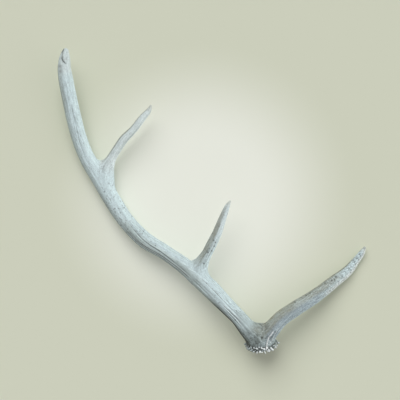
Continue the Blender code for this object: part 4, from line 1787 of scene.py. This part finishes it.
    def lighten(self, skin: SkinMesh) -> bpy.types.Mesh:
        """Thin out the triangles where the bone is plain.

        Args:
            skin: the settled skin, in metres.

        Returns:
            A lighter mesh, as fine as before at the burr and the broken tip.
        """
        obj = linked("antler_fine", skin.mesh)
        fine = obj.vertex_groups.new(name="fine")
        near = closeness(skin.points + (*self.footprint_middle, 0.0), self.protected)
        weight = np.round(near * self.protection_levels).astype(int)
        for level in range(1, self.protection_levels + 1):
            chosen = np.nonzero(weight == level)[0].tolist()
            fine.add(chosen, level / (self.protection_levels + 1), "REPLACE")
        thin = obj.modifiers.new("thin", "DECIMATE")
        thin.vertex_group = fine.name
        thin.invert_vertex_group = True
        thin.vertex_group_factor = 0.001
        thin.ratio = min(1.0, self.triangles / (2.0 * len(skin.points)))
        mesh = baked(obj)
        bpy.data.objects.remove(obj)
        return mesh

    def build(self) -> bpy.types.Object:
        """Grow the antler.

        Returns:
            The finished piece.
        """
        burr = Burr(self.finish)
        skin = self.fuse(burr)
        log.info("fused skin: %d points", len(skin.points))
        self.fair(skin, burr)
        Carver(self, burr, skin).carve()
        self.settle(skin)
        mesh = self.lighten(skin)
        mesh.name = "antler"
        mesh.materials.clear()
        mesh.materials.append(self.finish)
        mesh.shade_smooth()
        return linked("antler", mesh)


# ---------------------------------------------------------------- the studio


class LampKind(Enum):
    """What a lamp is for."""

    OVERHEAD = "overhead"
    RIGHT = "right"
    SIDE = "side"
    FILL = "fill"


@dataclass(frozen=True)
class Lamp:
    """A far, soft lamp: the direction it shines from, its apparent width in degrees and its strength."""

    kind: LampKind
    azimuth: float
    elevation: float
    softness: float
    strength: float
    casts_shadow: bool = True
    colour: Colour = (1.0, 1.0, 1.0)

    def build(self) -> None:
        """Hang the lamp."""
        data = bpy.data.lights.new(self.kind.value, "SUN")
        data.energy = self.strength
        data.angle = math.radians(self.softness)
        data.color = self.colour
        data.use_shadow = self.casts_shadow
        lamp = linked(self.kind.value, data)
        azimuth, elevation = math.radians(self.azimuth), math.radians(self.elevation)
        level = math.cos(elevation)
        towards = Vector((math.sin(azimuth) * level, math.cos(azimuth) * level, math.sin(elevation)))
        lamp.location = towards
        lamp.rotation_euler = towards.to_track_quat("Z", "Y").to_euler()


@dataclass
class Studio:
    """A pale floor, soft lamps and a camera that looks straight down."""

    floor_side: float = 14.0
    lamps: tuple[Lamp, ...] = (
        Lamp(LampKind.OVERHEAD, -17.0, 46.0, 50.0, 2.11),
        Lamp(LampKind.RIGHT, 80.0, 45.0, 60.0, 0.424),
        Lamp(LampKind.SIDE, 115.0, 10.0, 40.0, 1.85, casts_shadow=False),
        Lamp(LampKind.FILL, 278.0, 30.0, 60.0, 0.20, casts_shadow=False),
    )
    sky: Colour = (1.03, 0.96, 1.0)
    sky_strength: float = 0.205
    camera_place: tuple[float, float, float] = (-0.02184, 0.00117, 2.4)
    picture_width: float = 0.68
    picture_plane: float = 0.030
    sensor: float = 36.0

    def floor(self) -> None:
        """Lay the floor, which is stage and not a piece."""
        work = bmesh.new()
        bmesh.ops.create_grid(work, x_segments=1, y_segments=1, size=self.floor_side / 2)
        mesh = bpy.data.meshes.new("floor")
        work.to_mesh(mesh)
        work.free()
        obj = linked("floor", mesh)
        mesh.materials.append(FloorFinish().make())

    def camera(self) -> None:
        """Set up the camera over the antler: an unturned camera looks straight down."""
        data = bpy.data.cameras.new("camera")
        data.sensor_width = self.sensor
        data.lens = self.sensor * (self.camera_place[2] - self.picture_plane) / self.picture_width
        data.clip_start = 0.01
        data.clip_end = 100.0
        obj = linked("camera", data)
        obj.location = self.camera_place
        bpy.context.scene.camera = obj

    def world(self) -> None:
        """Fill the room with even pale light."""
        world = bpy.data.worlds.new("room")
        world.use_nodes = True
        back = world.node_tree.nodes["Background"]
        back.inputs["Color"].default_value = (*self.sky, 1.0)
        back.inputs["Strength"].default_value = self.sky_strength
        bpy.context.scene.world = world

    def build(self) -> None:
        """Set up the whole studio."""
        self.camera()
        self.floor()
        self.world()
        for lamp in self.lamps:
            lamp.build()
            log.info("lamp: %s", lamp.kind.value)
        bpy.context.scene.view_settings.view_transform = "Standard"
        bpy.context.scene.view_settings.look = "None"


def main() -> None:
    """Build the antler and the studio round it."""
    Studio().build()
    antler = Antler(BoneFinish().make()).build()
    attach(antler, BODY)
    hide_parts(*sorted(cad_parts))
    triangles = sum(len(face.vertices) - 2 for face in antler.data.polygons)
    log.info("antler: %d triangles", triangles)


if __name__ == "__main__":
    logging.basicConfig(level=logging.INFO, format="%(name)s: %(message)s")
    main()
